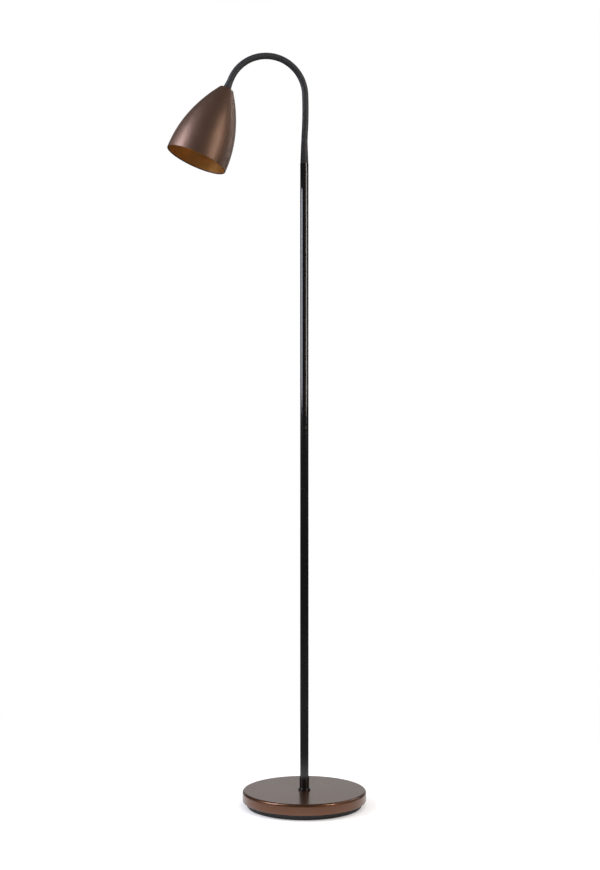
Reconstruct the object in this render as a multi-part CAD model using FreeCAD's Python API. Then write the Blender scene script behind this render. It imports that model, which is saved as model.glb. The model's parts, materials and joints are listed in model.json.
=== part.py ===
"""Gooseneck reading floor lamp, in millimetres.

The origin is the centre of the underside of the base, on the floor. +Z is up along the pole.
The neck bends in the XZ plane, and the shade hangs on the -X side of the pole.
Each separate piece of the lamp is written to parts/NAME.step.
"""
import FreeCAD, Part
import math
import os

V = FreeCAD.Vector

# ---------------------------------------------------------------- clearances and broken edges
FIT = 0.1                    # radial play of a shaft or plug in its seat
GAP = 0.3                    # free space round a piece that only lies in a hollow
MOULD_EDGE = 1.0             # small cut on the edges of moulded and cast pieces
TURNED_EDGE = 0.5            # and of turned pieces

# ---------------------------------------------------------------- base
BASE_R = 110.0               # outer radius of the bronze cover
BASE_TOP_Z = 29.4            # top face of the cover
BASE_LIP_Z = 9.7             # underside of the cover's rolled lip
SHELL_WALL = 1.5
TOP_EDGE_R = 4.0             # rounding of the cover's top edge
LIP_EDGE_R = 3.0             # rounding of the cover's lower edge
LIP_W = 7.6                  # width of the lip, inwards from the rim
TRAY_PLAY = 0.4              # radial play of the black tray in the lip
TRAY_WALL = 3.0
TRAY_FLOOR = 2.2
PAD_INSET = 4.0              # from the tray's edge to the pad's
PAD_THICK = 1.2
PAD_EDGE = 0.4               # cut on its lower edge
WEIGHT_PLAY = 1.4            # radial play of the cast iron disc in the lip, to get it in
WEIGHT_WEB = 5.0             # iron left over the central recess
SPANNER_ROOM = 5.0           # from the washer to the recess's wall
COVER_SCREW_COUNT = 4
COVER_SCREW_PCD = 150.0
COVER_SCREW_R = 2.0
COVER_SCREW_HEAD_R = 3.8
COVER_SCREW_HEAD = 2.2
COVER_SCREW_DEPTH = 9.0      # length held in the iron
BOSS_WALL = 1.4              # round the screw's head
RIB_COUNT = 8                # stiffening ribs of the tray
RIB_THICK = 1.6
RIB_INNER_R = 52.0

# ---------------------------------------------------------------- cord inlet and wiring in the base
GLAND_MARGIN = 0.7           # tray's rim left over and under the gland's flange
GLAND_LEDGE = 0.45           # flange past the body
GLAND_WALL = 0.7
GLAND_FLANGE = 1.6
GLAND_TAIL = 3.0             # length inside the tray's wall
GRIP_SETBACK = 15.0          # from the tray's wall to the middle of the cord grip
GRIP_L = 18.0
GRIP_W = 8.0
GRIP_THICK = 1.5
GRIP_POST_H = 3.0            # height of the pressed cord
GRIP_SCREW_PITCH = 12.5
SMALL_SCREW_R = 1.25
SMALL_HEAD_R = 2.3
SMALL_HEAD = 1.0
BLOCK_Y = 50.0               # middle of the terminal block
BLOCK_PLINTH = 2.0           # tray's raised seat under it
BLOCK_L = 19.0
BLOCK_W = 16.0
BLOCK_H = 11.0
BLOCK_WAYS = 2
BLOCK_PITCH = 8.0
BLOCK_EDGE = 1.2
BLOCK_ROOM = 5.5             # round the block, in the iron's pocket
BLOCK_HEADROOM = 3.0
WAY_R = 2.0                  # brass tube of one way
WAY_FLOOR = 0.8              # plastic left under a way
WAY_BORE_R = 1.4
WAY_L = 17.0
WAY_SCREW_R = 1.2
WAY_SCREW_PITCH = 9.0
WAY_SCREW_DROP = 2.0         # from the block's top to the screw's
LEAD_R = 2.0                 # two-core lead inside the lamp
CORE_WIRE_R = 0.8            # one insulated core of it
LEAD_SPLIT = 9.0             # length over which the two cores part before the block
WIRE_IN_WAY = 1.0            # length of core inside a way

# ---------------------------------------------------------------- pole
POLE_R = 7.5
POLE_WALL = 1.5
POLE_TOP_Z = 1144.5
SOCKET_CUFF_WALL = 1.0
SOCKET_LEDGE = 2.2           # flange past the cuff
SOCKET_FLANGE = 3.0
SOCKET_H = 24.1              # from the base to the top of the cuff
SOCKET_WEB = 3.0             # bottom that the pole stands on
POLE_PLUG_L = 16.0           # threaded plug in the pole's lower end
NIPPLE_R = 5.0               # hollow threaded nipple, 10 mm thread
NIPPLE_BORE_R = 3.6
NIPPLE_GRIP = 12.0           # length screwed into the plug
NIPPLE_END = 1.0             # length that shows past the nut
NUT_R = 7.5                  # half the distance over the nut's flats
NUT_H = 3.0
WASHER_R = 12.0
WASHER_H = 1.5

# ---------------------------------------------------------------- neck
SLEEVE_R = 5.7               # outside of the smooth sleeve
SLEEVE_WALL = 0.8
FERRULE_L = 29.5             # straight stretch above the pole that does not bend
FERRULE_END_R = 7.2          # sleeve stretched over the ferrule, at the pole
FERRULE_NECK_R = 6.15        # sleeve where it leaves the ferrule
FERRULE_TAPER = 10.5         # from there down to the sleeve's own radius
FERRULE_PLUG_L = 22.0        # ferrule's plug inside the pole
UNIT_L = 23.5                # one flexible unit of the neck
FLARE_UNITS = 1              # units with the outward lean
RISE_UNITS = 3
ARCH_UNITS = 4
REACH_UNITS = 4
FLARE_TURN = -3.6            # rest bend of one unit, degrees; positive bends towards the shade
RISE_TURN = 2.0
ARCH_TURN = 20.25
REACH_TURN = 18.35
HEAD_STRAIGHT = 20.0         # straight stretch at the shade's end
HEAD_END_R = 7.3             # sleeve stretched over the head ferrule
HEAD_TAPER = 14.0
SIDE_UNITS = (2, 5, 8, 11)   # units split by a joint for bending sideways
LINK_BORE_R = 2.6
NOSE_R = 3.15                # nose of a link, in the cup of the one before it
NOSE_PLAY = 0.45             # lets the nose tilt in the cup
NOSE_REACH = 1.5             # past the pivot
NOSE_NECK = 1.6              # from the pivot to the foot of the shoulder
SHOULDER = 2.4               # from the pivot to the top of the shoulder
CUP_DEPTH = 3.0

# ---------------------------------------------------------------- shade
SHADE_L = 138.0
SHADE_WALL = 1.0
CROWN_R = 12.6
CROWN_EDGE_R = 1.4
MOUTH_R = 55.0
SHOULDER_PULL = 30.0         # outward pull of the profile a third of the way down
MOUTH_PULL = 1.4             # and past the mouth's radius two thirds of the way down

# ---------------------------------------------------------------- lampholder
CROWN_WASHER_R = 9.0
CROWN_WASHER = 1.0
CROWN_NUT_H = 3.0
CROWN_NUT_R = 7.0
CAP_SPACE = 3.4              # from the crown nut to the lampholder's cap
CAP_TOP_R = 9.0
CAP_DOME = 6.6
CAP_SIDE = 7.0
CAP_EDGE = 2.0               # cut at the foot of the dome
HOLDER_R = 13.4
HOLDER_WALL = 1.6
CARRIER_H = 7.0
SHELL_WALL_T = 0.4           # brass screw shell
SHELL_L = 19.0
CONTACT_W = 4.0
CONTACT_T = 0.5

# ---------------------------------------------------------------- bulb
BULB_SEAT = 2.4              # from the carrier's face to the bulb's tip
BULB_TIP_R = 3.0
BULB_TIP_L = 2.6
BULB_TIP_EDGE = 0.6
BULB_BUTTON_R = 5.4          # foot of the glass insulator
BULB_SCREW_R = 6.9
BULB_SCREW_L = 18.0
BULB_COLLAR = 1.0            # housing past the screw cap
BULB_NECK_L = 17.0
GLOBE_R = 22.5
GLOBE_SEAT_R = 16.75         # circle where the globe sits on its housing
GLASS_WALL = 0.9


# ---------------------------------------------------------------- sketching helpers
CUT = "cut"                  # marks a corner that is cut straight, not rounded


def rounded_corner(before, corner, after, radius):
    """The start, middle and end of an arc that rounds one corner of an outline."""
    to_before = (before - corner).normalize()
    to_after = (after - corner).normalize()
    half = to_before.getAngle(to_after) / 2
    reach = radius / math.tan(half)
    bisector = (to_before + to_after).normalize()
    centre = corner + bisector * (radius / math.sin(half))
    return corner + to_before * reach, centre - bisector * radius, corner + to_after * reach


def cut_corner(before, corner, after, size):
    """The start and end of a straight cut over one corner of an outline."""
    return corner + (before - corner).normalize() * size, corner + (after - corner).normalize() * size


def outline(corners, place):
    """A closed wire through corners (a, b), (a, b, rounding) or (a, b, cut, CUT), set by place(a, b)."""
    points = [place(c[0], c[1]) for c in corners]
    edges = []
    ends = []
    for i, corner in enumerate(corners):
        before = points[i - 1]
        after = points[(i + 1) % len(points)]
        if len(corner) == 2:
            start = end = points[i]
        elif corner[-1] == CUT:
            start, end = cut_corner(before, points[i], after, corner[2])
            edges.append(Part.LineSegment(start, end).toShape())
        else:
            start, middle, end = rounded_corner(before, points[i], after, corner[2])
            edges.append(Part.Arc(start, middle, end).toShape())
        ends.append((start, end))
    for i, (_, leaves) in enumerate(ends):
        reaches = ends[(i + 1) % len(ends)][0]
        if leaves.distanceToPoint(reaches) > 1e-6:
            edges.append(Part.LineSegment(leaves, reaches).toShape())
    return Part.Wire(Part.__sortEdges__(edges))


def turned(corners):
    """A solid of revolution about Z from an outline of (radius, height) corners."""
    face = Part.Face(outline(corners, lambda r, z: V(r, 0, z)))
    return face.revolve(V(0, 0, 0), V(0, 0, 1), 360)


def prism(corners, bottom, top):
    """An upright prism from an outline of (x, y) corners."""
    face = Part.Face(outline(corners, lambda x, y: V(x, y, bottom)))
    return face.extrude(V(0, 0, top - bottom))


def rod(radius, bottom, top):
    """An upright cylinder on the Z axis."""
    return Part.makeCylinder(radius, top - bottom, V(0, 0, bottom))


def tube(outer, inner, bottom, top):
    """An upright tube on the Z axis."""
    return rod(outer, bottom, top).cut(rod(inner, bottom, top))


def hexagon(flat_radius, bottom, top):
    """A hexagonal prism, given half the distance over its flats."""
    point_radius = flat_radius / math.cos(math.pi / 6)
    angles = [math.radians(60 * i) for i in range(6)]
    return prism([(point_radius * math.cos(a), point_radius * math.sin(a)) for a in angles], bottom, top)


def box(x_width, y_from, y_to, bottom, top):
    """A box centred on the YZ plane."""
    return Part.makeBox(x_width, y_to - y_from, top - bottom, V(-x_width / 2, y_from, bottom))


def ring_of(shape, count, radius, first_angle=0.0):
    """Copies of a shape, moved out to a radius and spread round the Z axis."""
    copies = []
    for i in range(count):
        copy = shape.copy()
        copy.translate(V(radius, 0, 0))
        copy.rotate(V(0, 0, 0), V(0, 0, 1), first_angle + 360.0 * i / count)
        copies.append(copy)
    return copies


# ---------------------------------------------------------------- base
PAD_TOP_Z = PAD_THICK
TRAY_FLOOR_Z = PAD_TOP_Z + TRAY_FLOOR
LIP_INNER_R = BASE_R - LIP_W
TRAY_R = LIP_INNER_R - TRAY_PLAY
TRAY_INNER_R = TRAY_R - TRAY_WALL
WEIGHT_TOP_Z = BASE_TOP_Z - SHELL_WALL
WEB_Z = WEIGHT_TOP_Z - WEIGHT_WEB
WASHER_Z = WEB_Z - WASHER_H
NUT_Z = WASHER_Z - NUT_H
NIPPLE_BOTTOM_Z = NUT_Z - NIPPLE_END
SOCKET_FLOOR_Z = BASE_TOP_Z + SOCKET_WEB
POLE_BORE_R = POLE_R - POLE_WALL
BLOCK_Z = TRAY_FLOOR_Z + BLOCK_PLINTH
BLOCK_TOP_Z = BLOCK_Z + BLOCK_H
BLOCK_FRONT_Y = BLOCK_Y - BLOCK_L / 2
BLOCK_BACK_Y = BLOCK_Y + BLOCK_L / 2
WIRE_Z = BLOCK_Z + WAY_FLOOR + WAY_R
INLET_Z = (PAD_TOP_Z + BASE_LIP_Z) / 2
GLAND_FLANGE_R = (BASE_LIP_Z - PAD_TOP_Z) / 2 - GLAND_MARGIN
GLAND_BODY_R = GLAND_FLANGE_R - GLAND_LEDGE
GRIP_Y = TRAY_INNER_R - GRIP_SETBACK
BACK_ANGLE = 90.0            # +Y, where the cord comes in; no boss or rib stands there


def foot_pad():
    """Non-slip disc that the lamp stands on."""
    radius = TRAY_R - PAD_INSET
    return turned([(0, 0), (radius, 0, PAD_EDGE, CUT), (radius, PAD_TOP_Z), (0, PAD_TOP_Z)])


def spread_on_tray(shape, count, radius):
    """Copies round the tray, the first half a step past the cord inlet."""
    return ring_of(shape, count, radius, BACK_ANGLE + 180.0 / count)


def bottom_cover():
    """Moulded tray that closes the base: floor, rim, ribs, screw bosses and seats for the wiring."""
    tray = turned([
        (0, PAD_TOP_Z), (TRAY_R, PAD_TOP_Z, MOULD_EDGE, CUT), (TRAY_R, BASE_LIP_Z),
        (TRAY_INNER_R, BASE_LIP_Z), (TRAY_INNER_R, TRAY_FLOOR_Z), (0, TRAY_FLOOR_Z),
    ])
    head_space_r = COVER_SCREW_HEAD_R + GAP
    boss = rod(head_space_r + BOSS_WALL, TRAY_FLOOR_Z, BASE_LIP_Z)
    rib_end_r = TRAY_R - TRAY_WALL / 2
    rib = Part.makeBox(rib_end_r - RIB_INNER_R, RIB_THICK, BASE_LIP_Z - TRAY_FLOOR_Z - GAP,
                       V(RIB_INNER_R, -RIB_THICK / 2, TRAY_FLOOR_Z))
    plinth = box(BLOCK_W, BLOCK_FRONT_Y, BLOCK_BACK_Y, TRAY_FLOOR_Z, BLOCK_Z)
    tray = tray.multiFuse(spread_on_tray(boss, COVER_SCREW_COUNT, COVER_SCREW_PCD / 2)
                          + spread_on_tray(rib, RIB_COUNT, 0) + grip_posts() + [plinth])
    hole = rod(COVER_SCREW_R + FIT, PAD_TOP_Z, BASE_LIP_Z)
    hole = hole.fuse(rod(head_space_r, PAD_TOP_Z, PAD_TOP_Z + COVER_SCREW_HEAD + GAP))
    for cut in spread_on_tray(hole, COVER_SCREW_COUNT, COVER_SCREW_PCD / 2):
        tray = tray.cut(cut)
    inlet = Part.makeCylinder(GLAND_BODY_R + FIT, GLAND_TAIL + TRAY_WALL,
                              V(0, TRAY_INNER_R - GLAND_TAIL, INLET_Z), V(0, 1, 0))
    for cut in grip_screws() + [block_screw(), inlet]:
        tray = tray.cut(cut)
    return tray


def cover_screws():
    """Four flat-headed screws from below, through the tray into the iron."""
    head_z = PAD_TOP_Z + GAP
    end_z = BASE_LIP_Z + COVER_SCREW_DEPTH
    screw = turned([
        (0, head_z), (COVER_SCREW_HEAD_R, head_z), (COVER_SCREW_HEAD_R, head_z + COVER_SCREW_HEAD),
        (COVER_SCREW_R, head_z + COVER_SCREW_HEAD), (COVER_SCREW_R, end_z), (0, end_z),
    ])
    return Part.makeCompound(spread_on_tray(screw, COVER_SCREW_COUNT, COVER_SCREW_PCD / 2))


def base_weight():
    """Cast iron disc with a nut recess, a wiring pocket and four screw holes on its underside."""
    radius = LIP_INNER_R - WEIGHT_PLAY
    disc = turned([
        (0, BASE_LIP_Z), (radius, BASE_LIP_Z), (radius, WEIGHT_TOP_Z, MOULD_EDGE, CUT), (0, WEIGHT_TOP_Z),
    ])
    recess = rod(WASHER_R + SPANNER_ROOM, BASE_LIP_Z, WEB_Z)
    bore = rod(NIPPLE_R + FIT, WEB_Z, WEIGHT_TOP_Z)
    pocket = box(BLOCK_W + 2 * BLOCK_ROOM, 0, BLOCK_BACK_Y + BLOCK_ROOM, BASE_LIP_Z,
                 BLOCK_TOP_Z + BLOCK_HEADROOM)
    hole = rod(COVER_SCREW_R, BASE_LIP_Z, BASE_LIP_Z + COVER_SCREW_DEPTH)
    for cut in [recess, bore, pocket] + spread_on_tray(hole, COVER_SCREW_COUNT, COVER_SCREW_PCD / 2):
        disc = disc.cut(cut)
    return disc


def base_shell():
    """Pressed steel cover: flat top, rounded edges, and a lip rolled in under the iron."""
    inner_r = BASE_R - SHELL_WALL
    hole_r = NIPPLE_R + FIT
    return turned([
        (hole_r, BASE_TOP_Z), (BASE_R, BASE_TOP_Z, TOP_EDGE_R), (BASE_R, BASE_LIP_Z, LIP_EDGE_R),
        (LIP_INNER_R, BASE_LIP_Z), (LIP_INNER_R, BASE_LIP_Z + SHELL_WALL),
        (inner_r, BASE_LIP_Z + SHELL_WALL, LIP_EDGE_R - SHELL_WALL, CUT),
        (inner_r, WEIGHT_TOP_Z, TOP_EDGE_R - SHELL_WALL, CUT), (hole_r, WEIGHT_TOP_Z),
    ])


def base_washer():
    """Plain washer under the iron's web."""
    return tube(WASHER_R, NIPPLE_R + FIT, WASHER_Z, WEB_Z)


def base_nut():
    """Thin hexagon nut that clamps washer, iron, cover, socket and pole together."""
    return hexagon(NUT_R, NUT_Z, WASHER_Z).cut(rod(NIPPLE_R, NUT_Z, WASHER_Z))


def threaded_nipple():
    """Hollow threaded nipple from below the nut into the pole's plug; the lead runs through it."""
    return tube(NIPPLE_R, NIPPLE_BORE_R, NIPPLE_BOTTOM_Z, SOCKET_FLOOR_Z + NIPPLE_GRIP)


# ---------------------------------------------------------------- cord inlet and wiring
def cord_gland():
    """Bush in the back of the tray's rim that the supply cord would pass through."""
    bore_r = GLAND_BODY_R - GLAND_WALL
    flange_end = TRAY_WALL + GLAND_FLANGE
    bush = turned([
        (bore_r, -GLAND_TAIL), (GLAND_BODY_R, -GLAND_TAIL), (GLAND_BODY_R, TRAY_WALL / 2),
        (GLAND_FLANGE_R, TRAY_WALL / 2), (GLAND_FLANGE_R, flange_end, TURNED_EDGE, CUT), (bore_r, flange_end),
    ])
    bush.rotate(V(0, 0, 0), V(1, 0, 0), -90)
    bush.translate(V(0, TRAY_INNER_R, INLET_Z))
    rim = rod(TRAY_R, 0, BASE_LIP_Z)
    through = Part.makeCylinder(GLAND_BODY_R, BASE_R, V(0, 0, INLET_Z), V(0, 1, 0))
    return bush.cut(rim.cut(through))


def grip_posts():
    """Two low posts on the tray's floor that carry the cord grip."""
    post = rod(SMALL_HEAD_R, TRAY_FLOOR_Z, TRAY_FLOOR_Z + GRIP_POST_H)
    return at_grip_screws(post)


def at_grip_screws(shape):
    """Two copies of a shape, at the places of the cord grip's screws."""
    return [shape.translated(V(side * GRIP_SCREW_PITCH / 2, GRIP_Y, 0)) for side in (-1, 1)]


def small_screw(end, seat):
    """A cheese-headed screw on the Z axis, from the end of its shank to its head's seat and head."""
    return turned([
        (0, end), (SMALL_SCREW_R, end), (SMALL_SCREW_R, seat), (SMALL_HEAD_R, seat),
        (SMALL_HEAD_R, seat + SMALL_HEAD), (0, seat + SMALL_HEAD),
    ])


def cord_grip():
    """Saddle that would hold the supply cord down on its two posts."""
    bottom = TRAY_FLOOR_Z + GRIP_POST_H
    top = bottom + GRIP_THICK
    bar = box(GRIP_L, GRIP_Y - GRIP_W / 2, GRIP_Y + GRIP_W / 2, bottom, top)
    for hole in at_grip_screws(rod(SMALL_SCREW_R + FIT, bottom, top)):
        bar = bar.cut(hole)
    return bar


def grip_screws():
    """The cord grip's two screws, through its bar into the posts."""
    seat = TRAY_FLOOR_Z + GRIP_POST_H + GRIP_THICK
    return at_grip_screws(small_screw(TRAY_FLOOR_Z, seat))


def way_offsets():
    """X of each way of the terminal block."""
    first = -(BLOCK_WAYS - 1) / 2
    return [(first + i) * BLOCK_PITCH for i in range(BLOCK_WAYS)]


def at_way_screws(shape):
    """Copies of a shape at the two clamping screws of the way at x = 0."""
    return [shape.translated(V(0, BLOCK_Y + side * WAY_SCREW_PITCH / 2, 0)) for side in (-1, 1)]


def block_screw():
    """The screw that holds the terminal block on its plinth, its head sunk in the block's top."""
    head_seat = BLOCK_TOP_Z - SMALL_HEAD - GAP
    return small_screw(TRAY_FLOOR_Z, head_seat).translated(V(0, BLOCK_Y, 0))


def terminal_block():
    """Two-way block where the supply cord meets the inner lead."""
    block = box(BLOCK_W, BLOCK_FRONT_Y, BLOCK_BACK_Y, BLOCK_Z, BLOCK_TOP_Z)
    top_edges = [e for e in block.Edges if abs(e.CenterOfMass.z - BLOCK_TOP_Z) < 1e-6]
    block = block.makeChamfer(BLOCK_EDGE, top_edges)
    bore = Part.makeCylinder(WAY_R, BLOCK_L, V(0, BLOCK_FRONT_Y, WIRE_Z), V(0, 1, 0))
    wells = at_way_screws(rod(WAY_SCREW_R + GAP, WIRE_Z, BLOCK_TOP_Z))
    for x in way_offsets():
        for cut in [bore] + wells:
            block = block.cut(cut.translated(V(x, 0, 0)))
    head_well = rod(SMALL_HEAD_R + GAP, BLOCK_TOP_Z - SMALL_HEAD - GAP, BLOCK_TOP_Z)
    shank_hole = rod(SMALL_SCREW_R + FIT, BLOCK_Z, BLOCK_TOP_Z)
    for cut in (head_well, shank_hole):
        block = block.cut(cut.translated(V(0, BLOCK_Y, 0)))
    return block


def terminal_ways():
    """Brass tubes in the block, each with two clamping screws."""
    barrel = Part.makeCylinder(WAY_R, WAY_L, V(0, BLOCK_Y - WAY_L / 2, WIRE_Z), V(0, 1, 0))
    bore = Part.makeCylinder(WAY_BORE_R, WAY_L, V(0, BLOCK_Y - WAY_L / 2, WIRE_Z), V(0, 1, 0))
    screws = at_way_screws(rod(WAY_SCREW_R, WIRE_Z, BLOCK_TOP_Z - WAY_SCREW_DROP))
    way = barrel.multiFuse(screws).cut(bore)
    return Part.makeCompound([way.translated(V(x, 0, 0)) for x in way_offsets()])


# ---------------------------------------------------------------- pole
def pole_socket():
    """Turned socket on the base: a flange and a cuff for the pole, which stands on its bottom."""
    cuff_r = POLE_R + FIT + SOCKET_CUFF_WALL
    flange_r = cuff_r + SOCKET_LEDGE
    flange_z = BASE_TOP_Z + SOCKET_FLANGE
    top = BASE_TOP_Z + SOCKET_H
    hole_r = NIPPLE_R + FIT
    return turned([
        (hole_r, BASE_TOP_Z), (flange_r, BASE_TOP_Z), (flange_r, flange_z, TURNED_EDGE, CUT),
        (cuff_r, flange_z), (cuff_r, top, TURNED_EDGE, CUT), (POLE_R + FIT, top),
        (POLE_R + FIT, SOCKET_FLOOR_Z), (hole_r, SOCKET_FLOOR_Z),
    ])


def pole_plug():
    """Threaded plug brazed into the pole's lower end, which the nipple screws into."""
    return tube(POLE_BORE_R, NIPPLE_R, SOCKET_FLOOR_Z, SOCKET_FLOOR_Z + POLE_PLUG_L)


def pole_tube():
    """The long steel tube."""
    return tube(POLE_R, POLE_BORE_R, SOCKET_FLOOR_Z, POLE_TOP_Z)


# ---------------------------------------------------------------- the neck's centre line at rest
NECK_ARCS = (                # number of units and rest bend of each, from the pole to the shade
    (FLARE_UNITS, FLARE_TURN), (RISE_UNITS, RISE_TURN), (ARCH_UNITS, ARCH_TURN), (REACH_UNITS, REACH_TURN),
)
ARM = V(-1, 0, 0)            # the way the neck bends
UP = V(0, 0, 1)
BEND_AXIS = V(0, -1, 0)      # turning about it bends the neck towards the shade


def heading(turn):
    """Direction of the centre line after turning from straight up by some degrees."""
    angle = math.radians(turn)
    return ARM * math.sin(angle) + UP * math.cos(angle)


def side_of(turn):
    """Direction square to the centre line, in the plane of the neck, on the inside of the bend."""
    return heading(turn + 90)


class Stretch:
    """A stretch of centre line of one length and one turn, from a start point and heading."""

    def __init__(self, start, turn_in, length, turn):
        self.start = start
        self.turn_in = turn_in
        self.length = length
        self.turn = turn

    def at(self, along):
        """Point and heading angle at a distance along the stretch."""
        turned_by = self.turn * along / self.length
        if abs(self.turn) < 1e-9:
            return self.start + heading(self.turn_in) * along, self.turn_in
        radius = self.length / math.radians(self.turn)
        centre = self.start + side_of(self.turn_in) * radius
        return centre - side_of(self.turn_in + turned_by) * radius, self.turn_in + turned_by

    def sweep(self, section, start, end):
        """A face, drawn round the Z axis at the origin, carried along part of the stretch."""
        point, turn = self.at(start)
        face = set_on_axis(section.copy(), point, turn)
        if abs(self.turn) < 1e-9:
            return face.extrude(heading(turn) * (end - start))
        radius = self.length / math.radians(self.turn)
        centre = self.start + side_of(self.turn_in) * radius
        return face.revolve(centre, BEND_AXIS, self.turn * (end - start) / self.length)


def set_on_axis(shape, origin, turn):
    """Move a shape made along +Z from the origin on to a point and heading of the neck."""
    shape.rotate(V(0, 0, 0), BEND_AXIS, turn)
    return shape.translated(origin)


def neck_arcs():
    """The neck's arcs in order, from the pole ferrule to the head ferrule."""
    arcs = []
    point = V(0, 0, POLE_TOP_Z + FERRULE_L)
    turn = 0.0
    for count, unit_turn in NECK_ARCS:
        arc = Stretch(point, turn, count * UNIT_L, count * unit_turn)
        arcs.append(arc)
        point, turn = arc.at(arc.length)
    return arcs


def neck_units():
    """The flexible units of the neck in order: each arc cut into its units."""
    units = []
    for arc, (count, unit_turn) in zip(ARCS, NECK_ARCS):
        for i in range(count):
            point, turn = arc.at(i * UNIT_L)
            units.append(Stretch(point, turn, UNIT_L, unit_turn))
    return units


ARCS = neck_arcs()
UNITS = neck_units()
NECK_END, HEAD_TURN = UNITS[-1].at(UNIT_L)
HEAD_AXIS = heading(HEAD_TURN)
CROWN = NECK_END + HEAD_AXIS * HEAD_STRAIGHT


def in_head(shape):
    """Move a shape made along +Z, with 0 at the shade's crown, on to the shade's axis."""
    return set_on_axis(shape, CROWN, HEAD_TURN)


def neck_links():
    """Where each link of the core starts and ends: (unit, start, end) along its unit."""
    links = []
    for number, unit in enumerate(UNITS, start=1):
        if number in SIDE_UNITS:
            links.append((unit, 0.0, UNIT_L / 2))
            links.append((unit, UNIT_L / 2, UNIT_L))
        else:
            links.append((unit, 0.0, UNIT_L))
    return links


def neck_pivots():
    """Every pivot of the neck: (point, heading angle, bends sideways, rest bend it can take out)."""
    pivots = []
    turn_before = 0.0
    for number, unit in enumerate(UNITS, start=1):
        point, turn = unit.at(0)
        pivots.append((point, turn, False, (turn_before + unit.turn) / 2))
        if number in SIDE_UNITS:
            middle, turn = unit.at(UNIT_L / 2)
            pivots.append((middle, turn, True, 0.0))
        turn_before = unit.turn
    pivots.append((NECK_END, HEAD_TURN, False, turn_before / 2))
    return pivots


# ---------------------------------------------------------------- neck pieces
LINK_R = SLEEVE_R - SLEEVE_WALL - GAP
NECK_FOOT_Z = POLE_TOP_Z + FERRULE_L
LINK_SIDES = 12              # the core is drawn with flats, round enough for its sleeve and lead


def many_sided(radius, height):
    """A regular wire about the Z axis at a height."""
    angles = [math.tau * i / LINK_SIDES for i in range(LINK_SIDES)]
    return outline([(radius * math.cos(a), radius * math.sin(a)) for a in angles], lambda x, y: V(x, y, height))


def flats_prism(radius, bottom, top):
    """An upright many-sided prism on the Z axis."""
    return Part.Face(many_sided(radius, bottom)).extrude(V(0, 0, top - bottom))


def round_section(outer, inner=0.0):
    """A disc, or a ring if it has an inner radius, about the Z axis."""
    disc = Part.Face(Part.Wire(Part.makeCircle(outer)))
    if inner == 0:
        return disc
    return disc.cut(Part.Face(Part.Wire(Part.makeCircle(inner)))).Faces[0]


def nose():
    """Nose and shoulder that start a link, along +Z with the pivot at the origin."""
    neck = flats_prism(NOSE_R, -NOSE_REACH, SHOULDER)
    cone = Part.makeLoft([many_sided(NOSE_R, NOSE_NECK), many_sided(LINK_R, SHOULDER)], True, True)
    return neck.fuse(cone).cut(flats_prism(LINK_BORE_R, -NOSE_REACH, SHOULDER))


def cup():
    """Space that takes the next link's nose, along +Z with its pivot at the origin."""
    return flats_prism(NOSE_R + NOSE_PLAY, -CUP_DEPTH, 0)


def neck_link(unit, start, end):
    """One length of the neck's core: a bent bored bar with a nose at its start and a cup at its end."""
    bar_point, bar_turn = unit.at(start + SHOULDER)
    end_point, end_turn = unit.at(end)
    section = Part.Face(many_sided(LINK_R, 0)).cut(Part.Face(many_sided(LINK_BORE_R, 0))).Faces[0]
    body = unit.sweep(section, start + SHOULDER, end)
    front = set_on_axis(nose().translated(V(0, 0, -SHOULDER)), bar_point, bar_turn)
    return body.fuse(front).removeSplitter().cut(set_on_axis(cup(), end_point, end_turn))


def pole_ferrule():
    """Turned plug in the pole's top with the cone that stretches the sleeve out to the pole."""
    plug_r = POLE_BORE_R - FIT
    plug_z = POLE_TOP_Z - FERRULE_PLUG_L
    body = turned([
        (LINK_BORE_R, plug_z), (plug_r, plug_z, MOULD_EDGE, CUT), (plug_r, POLE_TOP_Z),
        (FERRULE_END_R - SLEEVE_WALL - FIT, POLE_TOP_Z), (FERRULE_NECK_R - SLEEVE_WALL - FIT, NECK_FOOT_Z),
        (LINK_BORE_R, NECK_FOOT_Z),
    ])
    return body.cut(cup().translated(V(0, 0, NECK_FOOT_Z)))


def head_ferrule():
    """Turned end of the neck: nose, cone that stretches the sleeve, shoulder and threaded stub."""
    nose_from = -HEAD_STRAIGHT - NOSE_REACH
    return in_head(turned([
        (LINK_BORE_R, nose_from), (NOSE_R, nose_from), (NOSE_R, NOSE_NECK - HEAD_STRAIGHT),
        (LINK_R, SHOULDER - HEAD_STRAIGHT), (LINK_R, -HEAD_TAPER), (HEAD_END_R - SLEEVE_WALL - FIT, 0),
        (NIPPLE_R, 0), (NIPPLE_R, CAP_SHOULDER_AT), (LINK_BORE_R, CAP_SHOULDER_AT),
    ]))


def sleeve_foot():
    """The sleeve's straight stretch over the pole ferrule."""
    return turned([
        (FERRULE_END_R - SLEEVE_WALL, POLE_TOP_Z), (FERRULE_END_R, POLE_TOP_Z),
        (FERRULE_NECK_R, NECK_FOOT_Z), (FERRULE_NECK_R - SLEEVE_WALL, NECK_FOOT_Z),
    ])


def sleeve_taper():
    """Where the sleeve leaves the ferrule and draws in to its own radius, along the first unit."""
    def cone(foot_r, top_r):
        rings = []
        for radius, along in ((foot_r, 0), (top_r, FERRULE_TAPER)):
            point, turn = ARCS[0].at(along)
            rings.append(Part.Wire(Part.makeCircle(radius, point, heading(turn))))
        return Part.makeLoft(rings, True, True)
    return cone(FERRULE_NECK_R, SLEEVE_R).cut(cone(FERRULE_NECK_R - SLEEVE_WALL, SLEEVE_R - SLEEVE_WALL))


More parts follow.
